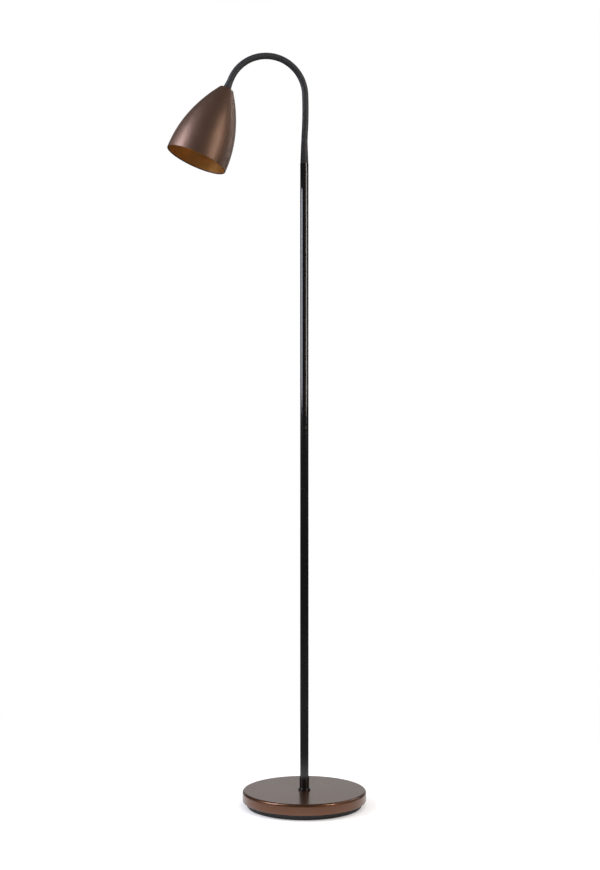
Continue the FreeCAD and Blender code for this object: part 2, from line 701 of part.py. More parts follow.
def sleeve_head():
    """The sleeve's straight end, stretched over the head ferrule."""
    inner_r = SLEEVE_R - SLEEVE_WALL
    return in_head(turned([
        (inner_r, -HEAD_STRAIGHT), (SLEEVE_R, -HEAD_STRAIGHT), (SLEEVE_R, -HEAD_TAPER), (HEAD_END_R, 0),
        (HEAD_END_R - SLEEVE_WALL, 0), (inner_r, -HEAD_TAPER),
    ]))


def gooseneck_sleeve():
    """Smooth sleeve over the whole neck, one solid, stretched wider over the ferrule at each end."""
    section = round_section(SLEEVE_R, SLEEVE_R - SLEEVE_WALL)
    bends = [ARCS[0].sweep(section, FERRULE_TAPER, ARCS[0].length)]
    bends += [arc.sweep(section, 0, arc.length) for arc in ARCS[1:]]
    return sleeve_foot().multiFuse([sleeve_taper()] + bends + [sleeve_head()]).removeSplitter()


def lead_core(x):
    """One core of the lead, from where the two part to just inside the bore of the way at x."""
    from_point = V(math.copysign(CORE_WIRE_R, x), BLOCK_FRONT_Y - LEAD_SPLIT, WIRE_Z)
    to_point = V(x, BLOCK_Y - WAY_L / 2 + WIRE_IN_WAY, WIRE_Z)
    return Part.makeCylinder(CORE_WIRE_R, (to_point - from_point).Length, from_point, to_point - from_point)


def inner_lead():
    """Two-core lead from the terminal block, up nipple and pole, and through the neck to the lampholder."""
    bend_r = NIPPLE_BOTTOM_Z - WIRE_Z
    run_end = BLOCK_FRONT_Y - LEAD_SPLIT
    run = Part.makeCylinder(LEAD_R, run_end - bend_r, V(0, bend_r, WIRE_Z), V(0, 1, 0))
    disc = Part.Face(Part.Wire(Part.makeCircle(LEAD_R, V(0, bend_r, WIRE_Z), V(0, 1, 0))))
    bend = disc.revolve(V(0, bend_r, NIPPLE_BOTTOM_Z), V(1, 0, 0), -90)
    riser = rod(LEAD_R, NIPPLE_BOTTOM_Z, NECK_FOOT_Z)
    in_neck = [arc.sweep(round_section(LEAD_R), 0, arc.length) for arc in ARCS]
    tail = in_head(rod(LEAD_R, -HEAD_STRAIGHT, CARRIER_AT))
    cores = [lead_core(way_offsets()[0]), lead_core(way_offsets()[-1])]
    return run.multiFuse([bend, riser] + in_neck + [tail] + cores).removeSplitter()


# ---------------------------------------------------------------- shade
def shade_profile(inset, start):
    """The spun form from crown to mouth as a curve of (radius, depth), drawn in by a wall."""
    top = CROWN_R - inset
    mouth = MOUTH_R - inset
    span = SHADE_L - start
    poles = [
        V(top, 0, start), V(top + SHOULDER_PULL, 0, start + span / 3),
        V(mouth + MOUTH_PULL, 0, start + span * 2 / 3), V(mouth, 0, SHADE_L),
    ]
    curve = Part.BezierCurve()
    curve.setPoles(poles)
    return curve


def shade():
    """Spun bell with a flat crown, one even wall, and a hole for the ferrule's stub."""
    hole_r = NIPPLE_R + FIT
    lines = [
        ((MOUTH_R, SHADE_L), (MOUTH_R - SHADE_WALL, SHADE_L)), ((CROWN_R, 0), (hole_r, 0)),
        ((hole_r, 0), (hole_r, SHADE_WALL)), ((hole_r, SHADE_WALL), (CROWN_R - SHADE_WALL, SHADE_WALL)),
    ]
    edges = [Part.LineSegment(V(r1, 0, z1), V(r2, 0, z2)).toShape() for (r1, z1), (r2, z2) in lines]
    edges += [shade_profile(0, 0).toShape(), shade_profile(SHADE_WALL, SHADE_WALL).toShape()]
    face = Part.Face(Part.Wire(Part.__sortEdges__(edges)))
    bell = face.revolve(V(0, 0, 0), V(0, 0, 1), 360)
    crown_edge = [e for e in bell.Edges if is_circle(e, CROWN_R, 0)]
    return in_head(bell.makeFillet(CROWN_EDGE_R, crown_edge))


def is_circle(edge, radius, height):
    """Whether an edge is the circle of one radius at one height on the Z axis."""
    curve = edge.Curve
    if not isinstance(curve, Part.Circle):
        return False
    return abs(curve.Radius - radius) < 1e-6 and abs(curve.Center.z - height) < 1e-6


# ---------------------------------------------------------------- lampholder, in depths below the crown
CROWN_NUT_AT = SHADE_WALL + CROWN_WASHER
CAP_AT = CROWN_NUT_AT + CROWN_NUT_H + CAP_SPACE
CAP_SHOULDER_AT = CAP_AT + CAP_DOME
CARRIER_AT = CAP_SHOULDER_AT + CAP_SIDE
CARRIER_END = CARRIER_AT + CARRIER_H
HOLDER_INNER_R = HOLDER_R - HOLDER_WALL
SCREW_SHELL_R = BULB_SCREW_R + GAP + SHELL_WALL_T


def crown_washer():
    """Toothed washer inside the crown."""
    return in_head(tube(CROWN_WASHER_R, NIPPLE_R + FIT, SHADE_WALL, CROWN_NUT_AT))


def crown_nut():
    """Nut that clamps the shade to the head ferrule."""
    top = CROWN_NUT_AT
    end = CROWN_NUT_AT + CROWN_NUT_H
    return in_head(hexagon(CROWN_NUT_R, top, end).cut(rod(NIPPLE_R, top, end)))


def lampholder_cap():
    """Domed cap of the lampholder, screwed on the stub."""
    return in_head(turned([
        (NIPPLE_R, CAP_AT), (CAP_TOP_R, CAP_AT, MOULD_EDGE, CUT), (HOLDER_R, CAP_SHOULDER_AT, CAP_EDGE, CUT),
        (HOLDER_R, CARRIER_AT), (HOLDER_INNER_R, CARRIER_AT), (HOLDER_INNER_R, CAP_SHOULDER_AT + HOLDER_WALL),
        (NIPPLE_R, CAP_SHOULDER_AT),
    ]))


def lampholder_carrier():
    """Insulating carrier that holds the screw shell and the contact, with a way for the lead's cores."""
    outer = HOLDER_INNER_R - FIT
    slot = box(CONTACT_W, SCREW_SHELL_R + FIT, HOLDER_R, CARRIER_AT, CARRIER_END)
    return in_head(rod(outer, CARRIER_AT, CARRIER_END).cut(slot))


def lampholder_skirt():
    """Outer skirt of the lampholder, drawn in round the screw shell."""
    bore_r = SCREW_SHELL_R + GAP
    end = CARRIER_END + SHELL_L
    return in_head(turned([
        (HOLDER_INNER_R, CARRIER_AT), (HOLDER_R, CARRIER_AT), (HOLDER_R, end, MOULD_EDGE, CUT),
        (bore_r, end), (bore_r, CARRIER_END), (HOLDER_INNER_R, CARRIER_END),
    ]))


def lampholder_shell():
    """Brass screw shell that the bulb turns into."""
    return in_head(tube(SCREW_SHELL_R, SCREW_SHELL_R - SHELL_WALL_T, CARRIER_END, CARRIER_END + SHELL_L))


def lampholder_contact():
    """Springy brass centre contact, bent up from the carrier to meet the bulb."""
    half = CONTACT_W
    knee = half / 2
    inner_knee = knee - CONTACT_T / 2
    outer_knee = knee + CONTACT_T / 2
    flat = CONTACT_T
    strip = [
        (-half, 0), (-knee, 0), (knee, BULB_SEAT - flat), (half, BULB_SEAT - flat), (half, BULB_SEAT),
        (inner_knee, BULB_SEAT), (-outer_knee, flat), (-half, flat),
    ]
    face = Part.Face(outline(strip, lambda x, z: V(x - knee, -CONTACT_W / 2, CARRIER_END + z)))
    return in_head(face.extrude(V(0, CONTACT_W, 0)))


# ---------------------------------------------------------------- bulb, in depths below the crown
BULB_TIP_AT = CARRIER_END + BULB_SEAT
BULB_SCREW_AT = BULB_TIP_AT + BULB_TIP_L
BULB_NECK_AT = BULB_SCREW_AT + BULB_SCREW_L
GLOBE_SEAT_AT = BULB_NECK_AT + BULB_NECK_L
GLOBE_CENTRE_AT = GLOBE_SEAT_AT + math.sqrt(GLOBE_R ** 2 - GLOBE_SEAT_R ** 2)


def bulb_contact():
    """Insulator and centre contact at the bulb's tip."""
    return in_head(turned([
        (0, BULB_TIP_AT), (BULB_TIP_R, BULB_TIP_AT, BULB_TIP_EDGE, CUT), (BULB_BUTTON_R, BULB_SCREW_AT),
        (0, BULB_SCREW_AT),
    ]))


def bulb_screw():
    """Metal screw cap of the bulb."""
    return in_head(rod(BULB_SCREW_R, BULB_SCREW_AT, BULB_NECK_AT))


def bulb_housing():
    """Tapered housing between screw cap and globe."""
    return in_head(turned([
        (0, BULB_NECK_AT), (BULB_SCREW_R + BULB_COLLAR, BULB_NECK_AT, TURNED_EDGE, CUT),
        (GLOBE_SEAT_R, GLOBE_SEAT_AT), (0, GLOBE_SEAT_AT),
    ]))


def bulb_globe():
    """Opal globe, a hollow ball cut where it meets the housing."""
    centre = V(0, 0, GLOBE_CENTRE_AT)
    ball = Part.makeSphere(GLOBE_R, centre).cut(Part.makeSphere(GLOBE_R - GLASS_WALL, centre))
    return in_head(ball.cut(rod(GLOBE_R, GLOBE_CENTRE_AT - 2 * GLOBE_R, GLOBE_SEAT_AT)))


# ---------------------------------------------------------------- write every piece
def single_pieces():
    """Every piece but the core links, by name."""
    return {
        "foot_pad": foot_pad(),
        "bottom_cover": bottom_cover(),
        "cover_screws": cover_screws(),
        "base_weight": base_weight(),
        "base_shell": base_shell(),
        "base_washer": base_washer(),
        "base_nut": base_nut(),
        "threaded_nipple": threaded_nipple(),
        "cord_gland": cord_gland(),
        "cord_grip": cord_grip(),
        "cord_grip_screws": Part.makeCompound(grip_screws()),
        "terminal_block": terminal_block(),
        "terminal_block_screw": block_screw(),
        "terminal_ways": terminal_ways(),
        "pole_socket": pole_socket(),
        "pole_plug": pole_plug(),
        "pole_tube": pole_tube(),
        "pole_ferrule": pole_ferrule(),
        "gooseneck_sleeve": gooseneck_sleeve(),
        "inner_lead": inner_lead(),
        "head_ferrule": head_ferrule(),
        "shade": shade(),
        "crown_washer": crown_washer(),
        "crown_nut": crown_nut(),
        "lampholder_cap": lampholder_cap(),
        "lampholder_carrier": lampholder_carrier(),
        "lampholder_skirt": lampholder_skirt(),
        "lampholder_shell": lampholder_shell(),
        "lampholder_contact": lampholder_contact(),
        "bulb_contact": bulb_contact(),
        "bulb_screw": bulb_screw(),
        "bulb_housing": bulb_housing(),
        "bulb_globe": bulb_globe(),
    }


def all_pieces():
    """Every piece of the lamp, by name."""
    pieces = single_pieces()
    for number, (unit, start, end) in enumerate(neck_links(), start=1):
        pieces[f"neck_link_{number:02d}"] = neck_link(unit, start, end)
    return pieces


def main():
    os.makedirs("parts", exist_ok=True)
    for name, shape in all_pieces().items():
        volume = shape.Volume / 1000.0
        print(f"{name:20s} solids {len(shape.Solids)}  valid {shape.isValid()}  volume {volume:9.3f} cm3")
        shape.exportStep(f"parts/{name}.step")


main()
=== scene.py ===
"""Looks of a gooseneck reading floor lamp, dressed round its fixed frame.

Sizes of the lamp are millimetres, as on a workshop drawing, and become metres when a mesh is made.
Sizes of the studio round it are metres. The origin is the centre of the foot on the floor, +Z is up, and
the neck reaches over to -X.
"""
import json
import logging
import math
from collections.abc import Callable
from dataclasses import dataclass, field
from enum import Enum

import bmesh
import bpy
import numpy as np
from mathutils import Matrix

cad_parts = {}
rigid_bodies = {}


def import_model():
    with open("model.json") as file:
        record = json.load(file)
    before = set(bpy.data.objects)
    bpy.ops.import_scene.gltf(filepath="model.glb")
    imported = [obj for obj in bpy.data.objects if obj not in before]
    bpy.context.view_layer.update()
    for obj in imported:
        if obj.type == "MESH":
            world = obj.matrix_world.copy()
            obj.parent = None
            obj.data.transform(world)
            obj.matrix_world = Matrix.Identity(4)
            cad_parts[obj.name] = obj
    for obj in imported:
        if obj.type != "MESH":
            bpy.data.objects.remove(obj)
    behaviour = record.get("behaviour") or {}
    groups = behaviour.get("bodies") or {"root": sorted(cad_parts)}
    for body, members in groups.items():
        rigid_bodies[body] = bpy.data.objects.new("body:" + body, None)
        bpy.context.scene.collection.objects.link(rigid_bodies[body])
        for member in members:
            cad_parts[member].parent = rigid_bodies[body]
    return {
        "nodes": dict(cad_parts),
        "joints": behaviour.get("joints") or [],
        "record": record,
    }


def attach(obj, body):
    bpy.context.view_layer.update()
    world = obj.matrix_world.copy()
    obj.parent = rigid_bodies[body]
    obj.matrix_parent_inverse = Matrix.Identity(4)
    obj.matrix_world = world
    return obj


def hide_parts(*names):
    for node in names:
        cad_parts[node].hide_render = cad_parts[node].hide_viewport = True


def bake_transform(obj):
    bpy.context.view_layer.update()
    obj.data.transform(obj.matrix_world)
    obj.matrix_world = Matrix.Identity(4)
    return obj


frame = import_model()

LOG = logging.getLogger("lamp")
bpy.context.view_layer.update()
MM = 0.001
MERGE_DISTANCE = 1e-6
FLAT_ROUTE = 1e-9
# Faces that meet at more than this keep a crisp edge between them.
SHARP_ANGLE = math.radians(40)
# Steps in each rounding, and how far past it, in shares of its reach, the holding points stand.
ROUND_STEPS = 5
ROUND_HOLD = 0.35
# Octaves of the three noises in a finish, and the part of the smudge noise that the gloss follows.
SPOT_DETAIL = 3.0
SMUDGE_DETAIL = 4.0
GRAIN_DETAIL = 2.0
SMUDGE_RANGE = (0.3, 0.7)
Y_AXIS = np.array([0.0, 1.0, 0.0])
Z_AXIS = np.array([0.0, 0.0, 1.0])
Radii = Callable[[np.ndarray], tuple[np.ndarray, np.ndarray]]


# ---------------------------------------------------------------- colours and nodes
def linear(hex_colour: str) -> tuple[float, float, float, float]:
    """Turn an sRGB hex colour into the linear values that a shader reads.

    Args:
        hex_colour: the colour as #rrggbb.
    Returns:
        Red, green, blue and an alpha of 1.
    """
    parts = np.array([int(hex_colour[i:i + 2], 16) for i in (1, 3, 5)]) / 255
    bright = ((parts + 0.055) / 1.055) ** 2.4
    values = np.where(parts <= 0.04045, parts / 12.92, bright)
    return float(values[0]), float(values[1]), float(values[2]), 1.0


def add_node(
    tree: bpy.types.NodeTree,
    kind: str,
    settings: dict[str, object] | None = None,
    values: dict[str | int, object] | None = None,
    links: dict[str | int, bpy.types.NodeSocket] | None = None,
) -> bpy.types.Node:
    """Add one node with its settings, socket values and incoming links.

    Args:
        tree: the node tree it goes into.
        kind: Blender's name for the node.
        settings: attributes of the node itself.
        values: values of input sockets, by name or number.
        links: sockets of other nodes that feed input sockets, by name or number.
    Returns:
        The new node.
    """
    node = tree.nodes.new(kind)
    for name, value in (settings or {}).items():
        setattr(node, name, value)
    for name, value in (values or {}).items():
        node.inputs[name].default_value = value
    for name, socket in (links or {}).items():
        tree.links.new(socket, node.inputs[name])
    return node


# ---------------------------------------------------------------- finishes
@dataclass(frozen=True)
class Finish:
    """A finish with a faintly uneven colour, an uneven gloss and a fine relief.

    The colour wanders between two hex values over spots of one size, the roughness over spots of another,
    and the relief is a grain of a stated width and height. All sizes are millimetres.
    """

    name: str
    colour: str
    worn_colour: str
    roughness: float
    gloss_play: float = 0.04
    metallic: float = 0.0
    coat: float = 0.0
    coat_roughness: float = 0.1
    ior: float = 1.5
    spot_mm: float = 40.0
    smudge_mm: float = 25.0
    grain_mm: float = 0.6
    grain_height_mm: float = 0.004

    def build(self) -> bpy.types.Material:
        """Make the material.

        Returns:
            A material that reads Object coordinates only.
        """
        material = bpy.data.materials.new(self.name)
        material.use_nodes = True
        tree = material.node_tree
        tree.nodes.clear()
        place = add_node(tree, "ShaderNodeTexCoord").outputs["Object"]
        shader = add_node(
            tree, "ShaderNodeBsdfPrincipled",
            values=self.uniform_values(),
            links={
                "Base Color": self.colour_socket(tree, place),
                "Roughness": self.roughness_socket(tree, place),
                "Normal": self.relief_socket(tree, place),
            },
        )
        add_node(tree, "ShaderNodeOutputMaterial", links={"Surface": shader.outputs[0]})
        return material

    def uniform_values(self) -> dict[str | int, object]:
        """Values that are the same all over the surface, set on the shader's own sockets."""
        values: dict[str | int, object] = {
            "Metallic": self.metallic,
            "Coat Weight": self.coat,
            "Coat Roughness": self.coat_roughness,
        }
        if self.metallic < 0.5:
            values["IOR"] = self.ior
        return values

    def noise(
        self, tree: bpy.types.NodeTree, place: bpy.types.NodeSocket, width_mm: float, detail: float
    ) -> bpy.types.NodeSocket:
        """Smooth random spots of one width, from 0 to 1."""
        values = {"Scale": 1 / (width_mm * MM), "Detail": detail, "Roughness": 0.5}
        return add_node(tree, "ShaderNodeTexNoise", values=values, links={"Vector": place}).outputs["Fac"]

    def colour_socket(self, tree: bpy.types.NodeTree, place: bpy.types.NodeSocket) -> bpy.types.NodeSocket:
        """The colour, wandering between the fresh and the worn one."""
        spots = self.noise(tree, place, self.spot_mm, SPOT_DETAIL)
        mix = add_node(
            tree, "ShaderNodeMix", {"data_type": "RGBA"},
            {6: linear(self.colour), 7: linear(self.worn_colour)}, {0: spots},
        )
        return mix.outputs[2]

    def roughness_socket(self, tree: bpy.types.NodeTree, place: bpy.types.NodeSocket) -> bpy.types.NodeSocket:
        """The roughness, a little uneven as a handled surface is."""
        smudges = self.noise(tree, place, self.smudge_mm, SMUDGE_DETAIL)
        values = {
            "From Min": SMUDGE_RANGE[0], "From Max": SMUDGE_RANGE[1],
            "To Min": self.roughness - self.gloss_play, "To Max": self.roughness + self.gloss_play,
        }
        return add_node(tree, "ShaderNodeMapRange", values=values, links={"Value": smudges}).outputs[0]

    def relief_socket(self, tree: bpy.types.NodeTree, place: bpy.types.NodeSocket) -> bpy.types.NodeSocket:
        """The fine grain of the surface as a bump of its real height."""
        grain = self.noise(tree, place, self.grain_mm, GRAIN_DETAIL)
        values = {"Strength": 1.0, "Distance": self.grain_height_mm * MM}
        return add_node(tree, "ShaderNodeBump", values=values, links={"Height": grain}).outputs[0]


@dataclass(frozen=True)
class FlakeLacquer(Finish):
    """Stoved lacquer with metal flakes: each flake is a little lighter or darker than the next."""

    flake_mm: float = 0.7
    flake_play: float = 0.16

    def colour_socket(self, tree: bpy.types.NodeTree, place: bpy.types.NodeSocket) -> bpy.types.NodeSocket:
        """The wandering colour, with each flake's own brightness on it. Flakes are coarser than life."""
        base = super().colour_socket(tree, place)
        flakes = add_node(
            tree, "ShaderNodeTexVoronoi",
            values={"Scale": 1 / (self.flake_mm * MM)}, links={"Vector": place},
        )
        spread = add_node(
            tree, "ShaderNodeMapRange", links={"Value": flakes.outputs["Color"]},
            values={"To Min": 1 - self.flake_play, "To Max": 1 + self.flake_play},
        )
        return add_node(
            tree, "ShaderNodeHueSaturation", links={"Color": base, "Value": spread.outputs[0]}
        ).outputs[0]


@dataclass(frozen=True)
class OpalGlass(Finish):
    """Blown opal glass: light goes in a little way and comes out milky."""

    depth_mm: float = 3.0
    milkiness: float = 0.6
    reach_by_colour: tuple[float, float, float] = (1.0, 0.9, 0.8)

    def uniform_values(self) -> dict[str | int, object]:
        """The common values, with the milky depth of the glass."""
        values = super().uniform_values()
        values["Subsurface Weight"] = self.milkiness
        values["Subsurface Radius"] = self.reach_by_colour
        values["Subsurface Scale"] = self.depth_mm * MM
        return values


class Slot(Enum):
    """The record's material slots."""

    BRONZE = "bronze_lacquer"
    BLACK = "black_lacquer"
    TRAY = "black_moulding"
    FOAM = "black_foam"
    SLEEVE = "sleeve_vinyl"
    IRON = "grey_iron"
    ZINC = "zinc_plate"
    CORE = "neck_steel"
    BRASS = "brass"
    CORD = "cord_insulation"
    TERMINAL = "terminal_moulding"
    HOLDER = "lampholder_moulding"
    STEATITE = "steatite"
    OPAL = "opal_glass"
    BULB = "bulb_moulding"
    NICKEL = "nickel_cap"


# Bronze flake lacquer on spun and pressed steel: a satin sheen, warm where it faces the viewer.
BRONZE = FlakeLacquer(
    "stoved_bronze_flake_lacquer", "#7d5236", "#764c31", 0.36, 0.015, metallic=0.92, coat=0.9,
    coat_roughness=0.2, spot_mm=60.0, smudge_mm=60.0, grain_mm=1.4, grain_height_mm=0.0015,
)
# The same lacquer sprayed drier on the spun bell: its highlights are broad and soft.
BRONZE_BELL = FlakeLacquer(
    "dry_sprayed_bronze_flake_lacquer", "#806251", "#755747", 0.48, metallic=0.85, coat=0.8,
    coat_roughness=0.42, spot_mm=40.0, grain_mm=1.4, grain_height_mm=0.006,
)
# The same lacquer inside the bell, made lighter and more golden: a painted glow of the light that bounces
# inside the bell.
BRONZE_WITH_PAINTED_GLOW = FlakeLacquer(
    "bronze_lacquer_with_painted_bounce_glow", "#d29a52", "#b98443", 0.4, metallic=0.75, coat=0.2,
    coat_roughness=0.3, spot_mm=30.0, grain_mm=1.6, grain_height_mm=0.008,
)
FINISHES: dict[Slot, Finish] = {
    Slot.BRONZE: BRONZE,
    # Gloss black stoving enamel on steel tube: deep black with clear highlights. Its index is set above a
    # single coat's, which gives the highlights the strength that several coats have.
    Slot.BLACK: Finish(
        "gloss_black_stoving_enamel", "#08080a", "#0c0c0e", 0.1, 0.02, ior=1.85, grain_mm=3.0,
        grain_height_mm=0.002,
    ),
    # Injection-moulded black ABS with an eroded tool texture.
    Slot.TRAY: Finish(
        "moulded_black_abs", "#1c1c1d", "#232322", 0.42, 0.05, ior=1.53, grain_mm=0.5, grain_height_mm=0.02,
    ),
    # Die-cut closed-cell foam: dull, with open cells at the cut.
    Slot.FOAM: Finish(
        "die_cut_black_eva_foam", "#171717", "#212121", 0.92, 0.03, grain_mm=1.1, grain_height_mm=0.15,
    ),
    # Extruded soft vinyl, shrunk on the neck: matt, a little violet in the light.
    Slot.SLEEVE: Finish(
        "extruded_matt_vinyl", "#26262a", "#2e2d32", 0.52, 0.05, ior=1.52, smudge_mm=12.0,
        grain_mm=0.5, grain_height_mm=0.012,
    ),
    # Sand-cast grey iron.
    Slot.IRON: Finish(
        "sand_cast_grey_iron", "#4b4a49", "#3a3938", 0.68, 0.08, metallic=0.7, grain_mm=1.2,
        grain_height_mm=0.12,
    ),
    # Bright zinc plate on turned steel.
    Slot.ZINC: Finish(
        "zinc_plated_turned_steel", "#b4b8bd", "#9aa0a8", 0.3, 0.06, metallic=1.0, grain_mm=0.5,
        grain_height_mm=0.004,
    ),
    # Oiled spring steel of the neck's core.
    Slot.CORE: Finish(
        "oiled_spring_steel", "#77787a", "#5c5d60", 0.35, 0.07, metallic=1.0, grain_mm=0.6,
        grain_height_mm=0.006,
    ),
    # Turned and pressed brass, a little dull.
    Slot.BRASS: Finish(
        "pressed_brass", "#c9a556", "#b08c42", 0.3, 0.06, metallic=1.0, grain_mm=0.5, grain_height_mm=0.004,
    ),
    # PVC insulation of the lead.
    Slot.CORD: Finish(
        "extruded_pvc_insulation", "#202022", "#2a2a2c", 0.42, 0.05, ior=1.53, grain_mm=0.7,
        grain_height_mm=0.01,
    ),
    # Polyamide terminal block, natural colour.
    Slot.TERMINAL: Finish(
        "moulded_natural_polyamide", "#d8d6cc", "#ccc9bd", 0.4, 0.05, ior=1.53, grain_mm=0.6,
        grain_height_mm=0.01,
    ),
    # White thermoset lampholder.
    Slot.HOLDER: Finish(
        "pressed_white_thermoset", "#e2dfd6", "#d8d4c8", 0.38, 0.05, ior=1.6, grain_mm=0.8,
        grain_height_mm=0.008,
    ),
    # Unglazed steatite ceramic.
    Slot.STEATITE: Finish(
        "unglazed_steatite", "#dcd8cc", "#cfcabb", 0.75, 0.05, ior=1.58, grain_mm=0.4, grain_height_mm=0.02,
    ),
    # Blown opal glass of the bulb.
    Slot.OPAL: OpalGlass(
        "blown_opal_glass", "#f2efe6", "#ebe7dc", 0.3, 0.03, ior=1.52, grain_mm=6.0, grain_height_mm=0.004,
    ),
    # Glossy white polycarbonate of the bulb's neck.
    Slot.BULB: Finish(
        "moulded_white_polycarbonate", "#e9e8e3", "#e0dfd8", 0.28, 0.04, ior=1.58, grain_mm=1.2,
        grain_height_mm=0.006,
    ),
    # Nickel-plated screw cap.
    Slot.NICKEL: Finish(
        "nickel_plated_brass", "#bcb8b0", "#a8a49b", 0.22, 0.05, metallic=1.0, grain_mm=0.5,
        grain_height_mm=0.004,
    ),
}


# ---------------------------------------------------------------- surfaces
def rounded_outline(corners: list[tuple[float, float, float]], closed: bool = True) -> np.ndarray:
    """Points along an outline whose corners are rounded by tangent arcs.

    A rounding q at a corner of half angle h begins q / tan(h) before the corner and ends as far after it. Its
    centre is the corner plus the bisector times q / sin(h), and its points turn evenly round that centre. A
    holding point a little way along each straight keeps the shading of the long faces even.

    Args:
        corners: (radius, height, rounding) of each corner, in millimetres.
        closed: whether the last corner joins the first.
    Returns:
        An array of (radius, height) rows.
    """
    spots = np.array([corner[:2] for corner in corners], float)
    rows = []
    for i, (*_, rounding) in enumerate(corners):
        here = spots[i]
        at_end = not closed and i in (0, len(corners) - 1)
        if rounding == 0 or at_end:
            rows.append(here[None, :])
            continue
        back = spots[i - 1] - here
        ahead = spots[(i + 1) % len(spots)] - here
        back_length, ahead_length = np.linalg.norm(back), np.linalg.norm(ahead)
        back, ahead = back / back_length, ahead / ahead_length
        half = math.acos(float(np.clip(back @ ahead, -1, 1))) / 2
        reach = rounding / math.tan(half)
        centre = here + (back + ahead) / np.linalg.norm(back + ahead) * rounding / math.sin(half)
        start, end = here + back * reach - centre, here + ahead * reach - centre
        share = np.linspace(0, 1, ROUND_STEPS + 1)[:, None]
        whole = math.pi - 2 * half
        turned = start * np.sin((1 - share) * whole) + end * np.sin(share * whole)
        arc = centre + turned / math.sin(whole)
        before = here + back * min(reach * (1 + ROUND_HOLD), back_length / 2)
        after = here + ahead * min(reach * (1 + ROUND_HOLD), ahead_length / 2)
        rows.append(np.vstack([before, arc, after]))
    return np.vstack(rows)


def make_mesh(
    name: str, grid: np.ndarray, wrap_rows: bool, wrap_columns: bool,
    row_finish: np.ndarray | None = None,
) -> bpy.types.Object:
    """Put a grid of points into a mesh of quads, with poles merged and faces turned outwards.

    Face (i, j) joins point (i, j) to (i + 1, j), (i + 1, j + 1) and (i, j + 1), counted round where it wraps.

    Args:
        name: the piece's name.
        grid: points as an array of rows, columns and 3, in millimetres.
        wrap_rows: whether the last row joins the first.
        wrap_columns: whether the last column joins the first.
        row_finish: number of the material for each row of faces.
    Returns:
        The new object, at the origin.
    """
    rows, columns = grid.shape[:2]
    i = np.arange(rows if wrap_rows else rows - 1)[:, None]
    j = np.arange(columns if wrap_columns else columns - 1)[None, :]
    i_next, j_next = (i + 1) % rows, (j + 1) % columns
    quads = np.stack([
        i * columns + j, i_next * columns + j, i_next * columns + j_next, i * columns + j_next
    ], axis=-1).reshape(-1, 4)
    mesh = bpy.data.meshes.new(name)
    mesh.vertices.add(rows * columns)
    mesh.vertices.foreach_set("co", (grid.reshape(-1, 3) * MM).astype(np.float32).ravel())
    mesh.loops.add(quads.size)
    mesh.loops.foreach_set("vertex_index", quads.ravel().astype(np.int32))
    mesh.polygons.add(len(quads))
    mesh.polygons.foreach_set("loop_start", np.arange(0, quads.size, 4, dtype=np.int32))
    if row_finish is not None:
        per_face = np.repeat(row_finish[:len(i)], j.size).astype(np.int32)
        mesh.polygons.foreach_set("material_index", per_face)
    mesh.update(calc_edges=True)
    mesh.validate()
    return finish_mesh(name, mesh)


def finish_mesh(name: str, mesh: bpy.types.Mesh) -> bpy.types.Object:
    """Merge doubles, turn faces outwards, shade smoothly up to the sharp edges, and make the object."""
    edit = bmesh.new()
    edit.from_mesh(mesh)
    bmesh.ops.remove_doubles(edit, verts=edit.verts, dist=MERGE_DISTANCE)
    bmesh.ops.recalc_face_normals(edit, faces=edit.faces)
    edit.to_mesh(mesh)
    edit.free()
    mesh.shade_smooth()
    mesh.set_sharp_from_angle(angle=SHARP_ANGLE)
    piece = bpy.data.objects.new(name, mesh)
    bpy.context.scene.collection.objects.link(piece)
    return piece


@dataclass(frozen=True)
class Axis:
    """A line that a piece is turned about: a foot in millimetres and a unit direction in the XZ plane."""

    foot: tuple[float, float, float] = (0.0, 0.0, 0.0)
    direction: tuple[float, float, float] = (0.0, 0.0, 1.0)

    def turn(self, outline: np.ndarray, segments: int) -> np.ndarray:
        """Carry an outline round the axis.

        A point at radius r and height h goes to foot + h direction + r (cos a side + sin a Y), for a full
        turn of a.

        Args:
            outline: (radius, height) rows.
            segments: how many steps go round.
        Returns:
            Points as an array of rows, segments and 3.
        """
        along = np.array(self.direction)
        side = np.cross(Y_AXIS, along)
        angle = np.linspace(0, math.tau, segments, endpoint=False)
        ring = np.cos(angle)[:, None] * side + np.sin(angle)[:, None] * Y_AXIS
        return np.array(self.foot) + outline[:, None, 1:2] * along + outline[:, None, 0:1] * ring[None]


UPRIGHT = Axis()


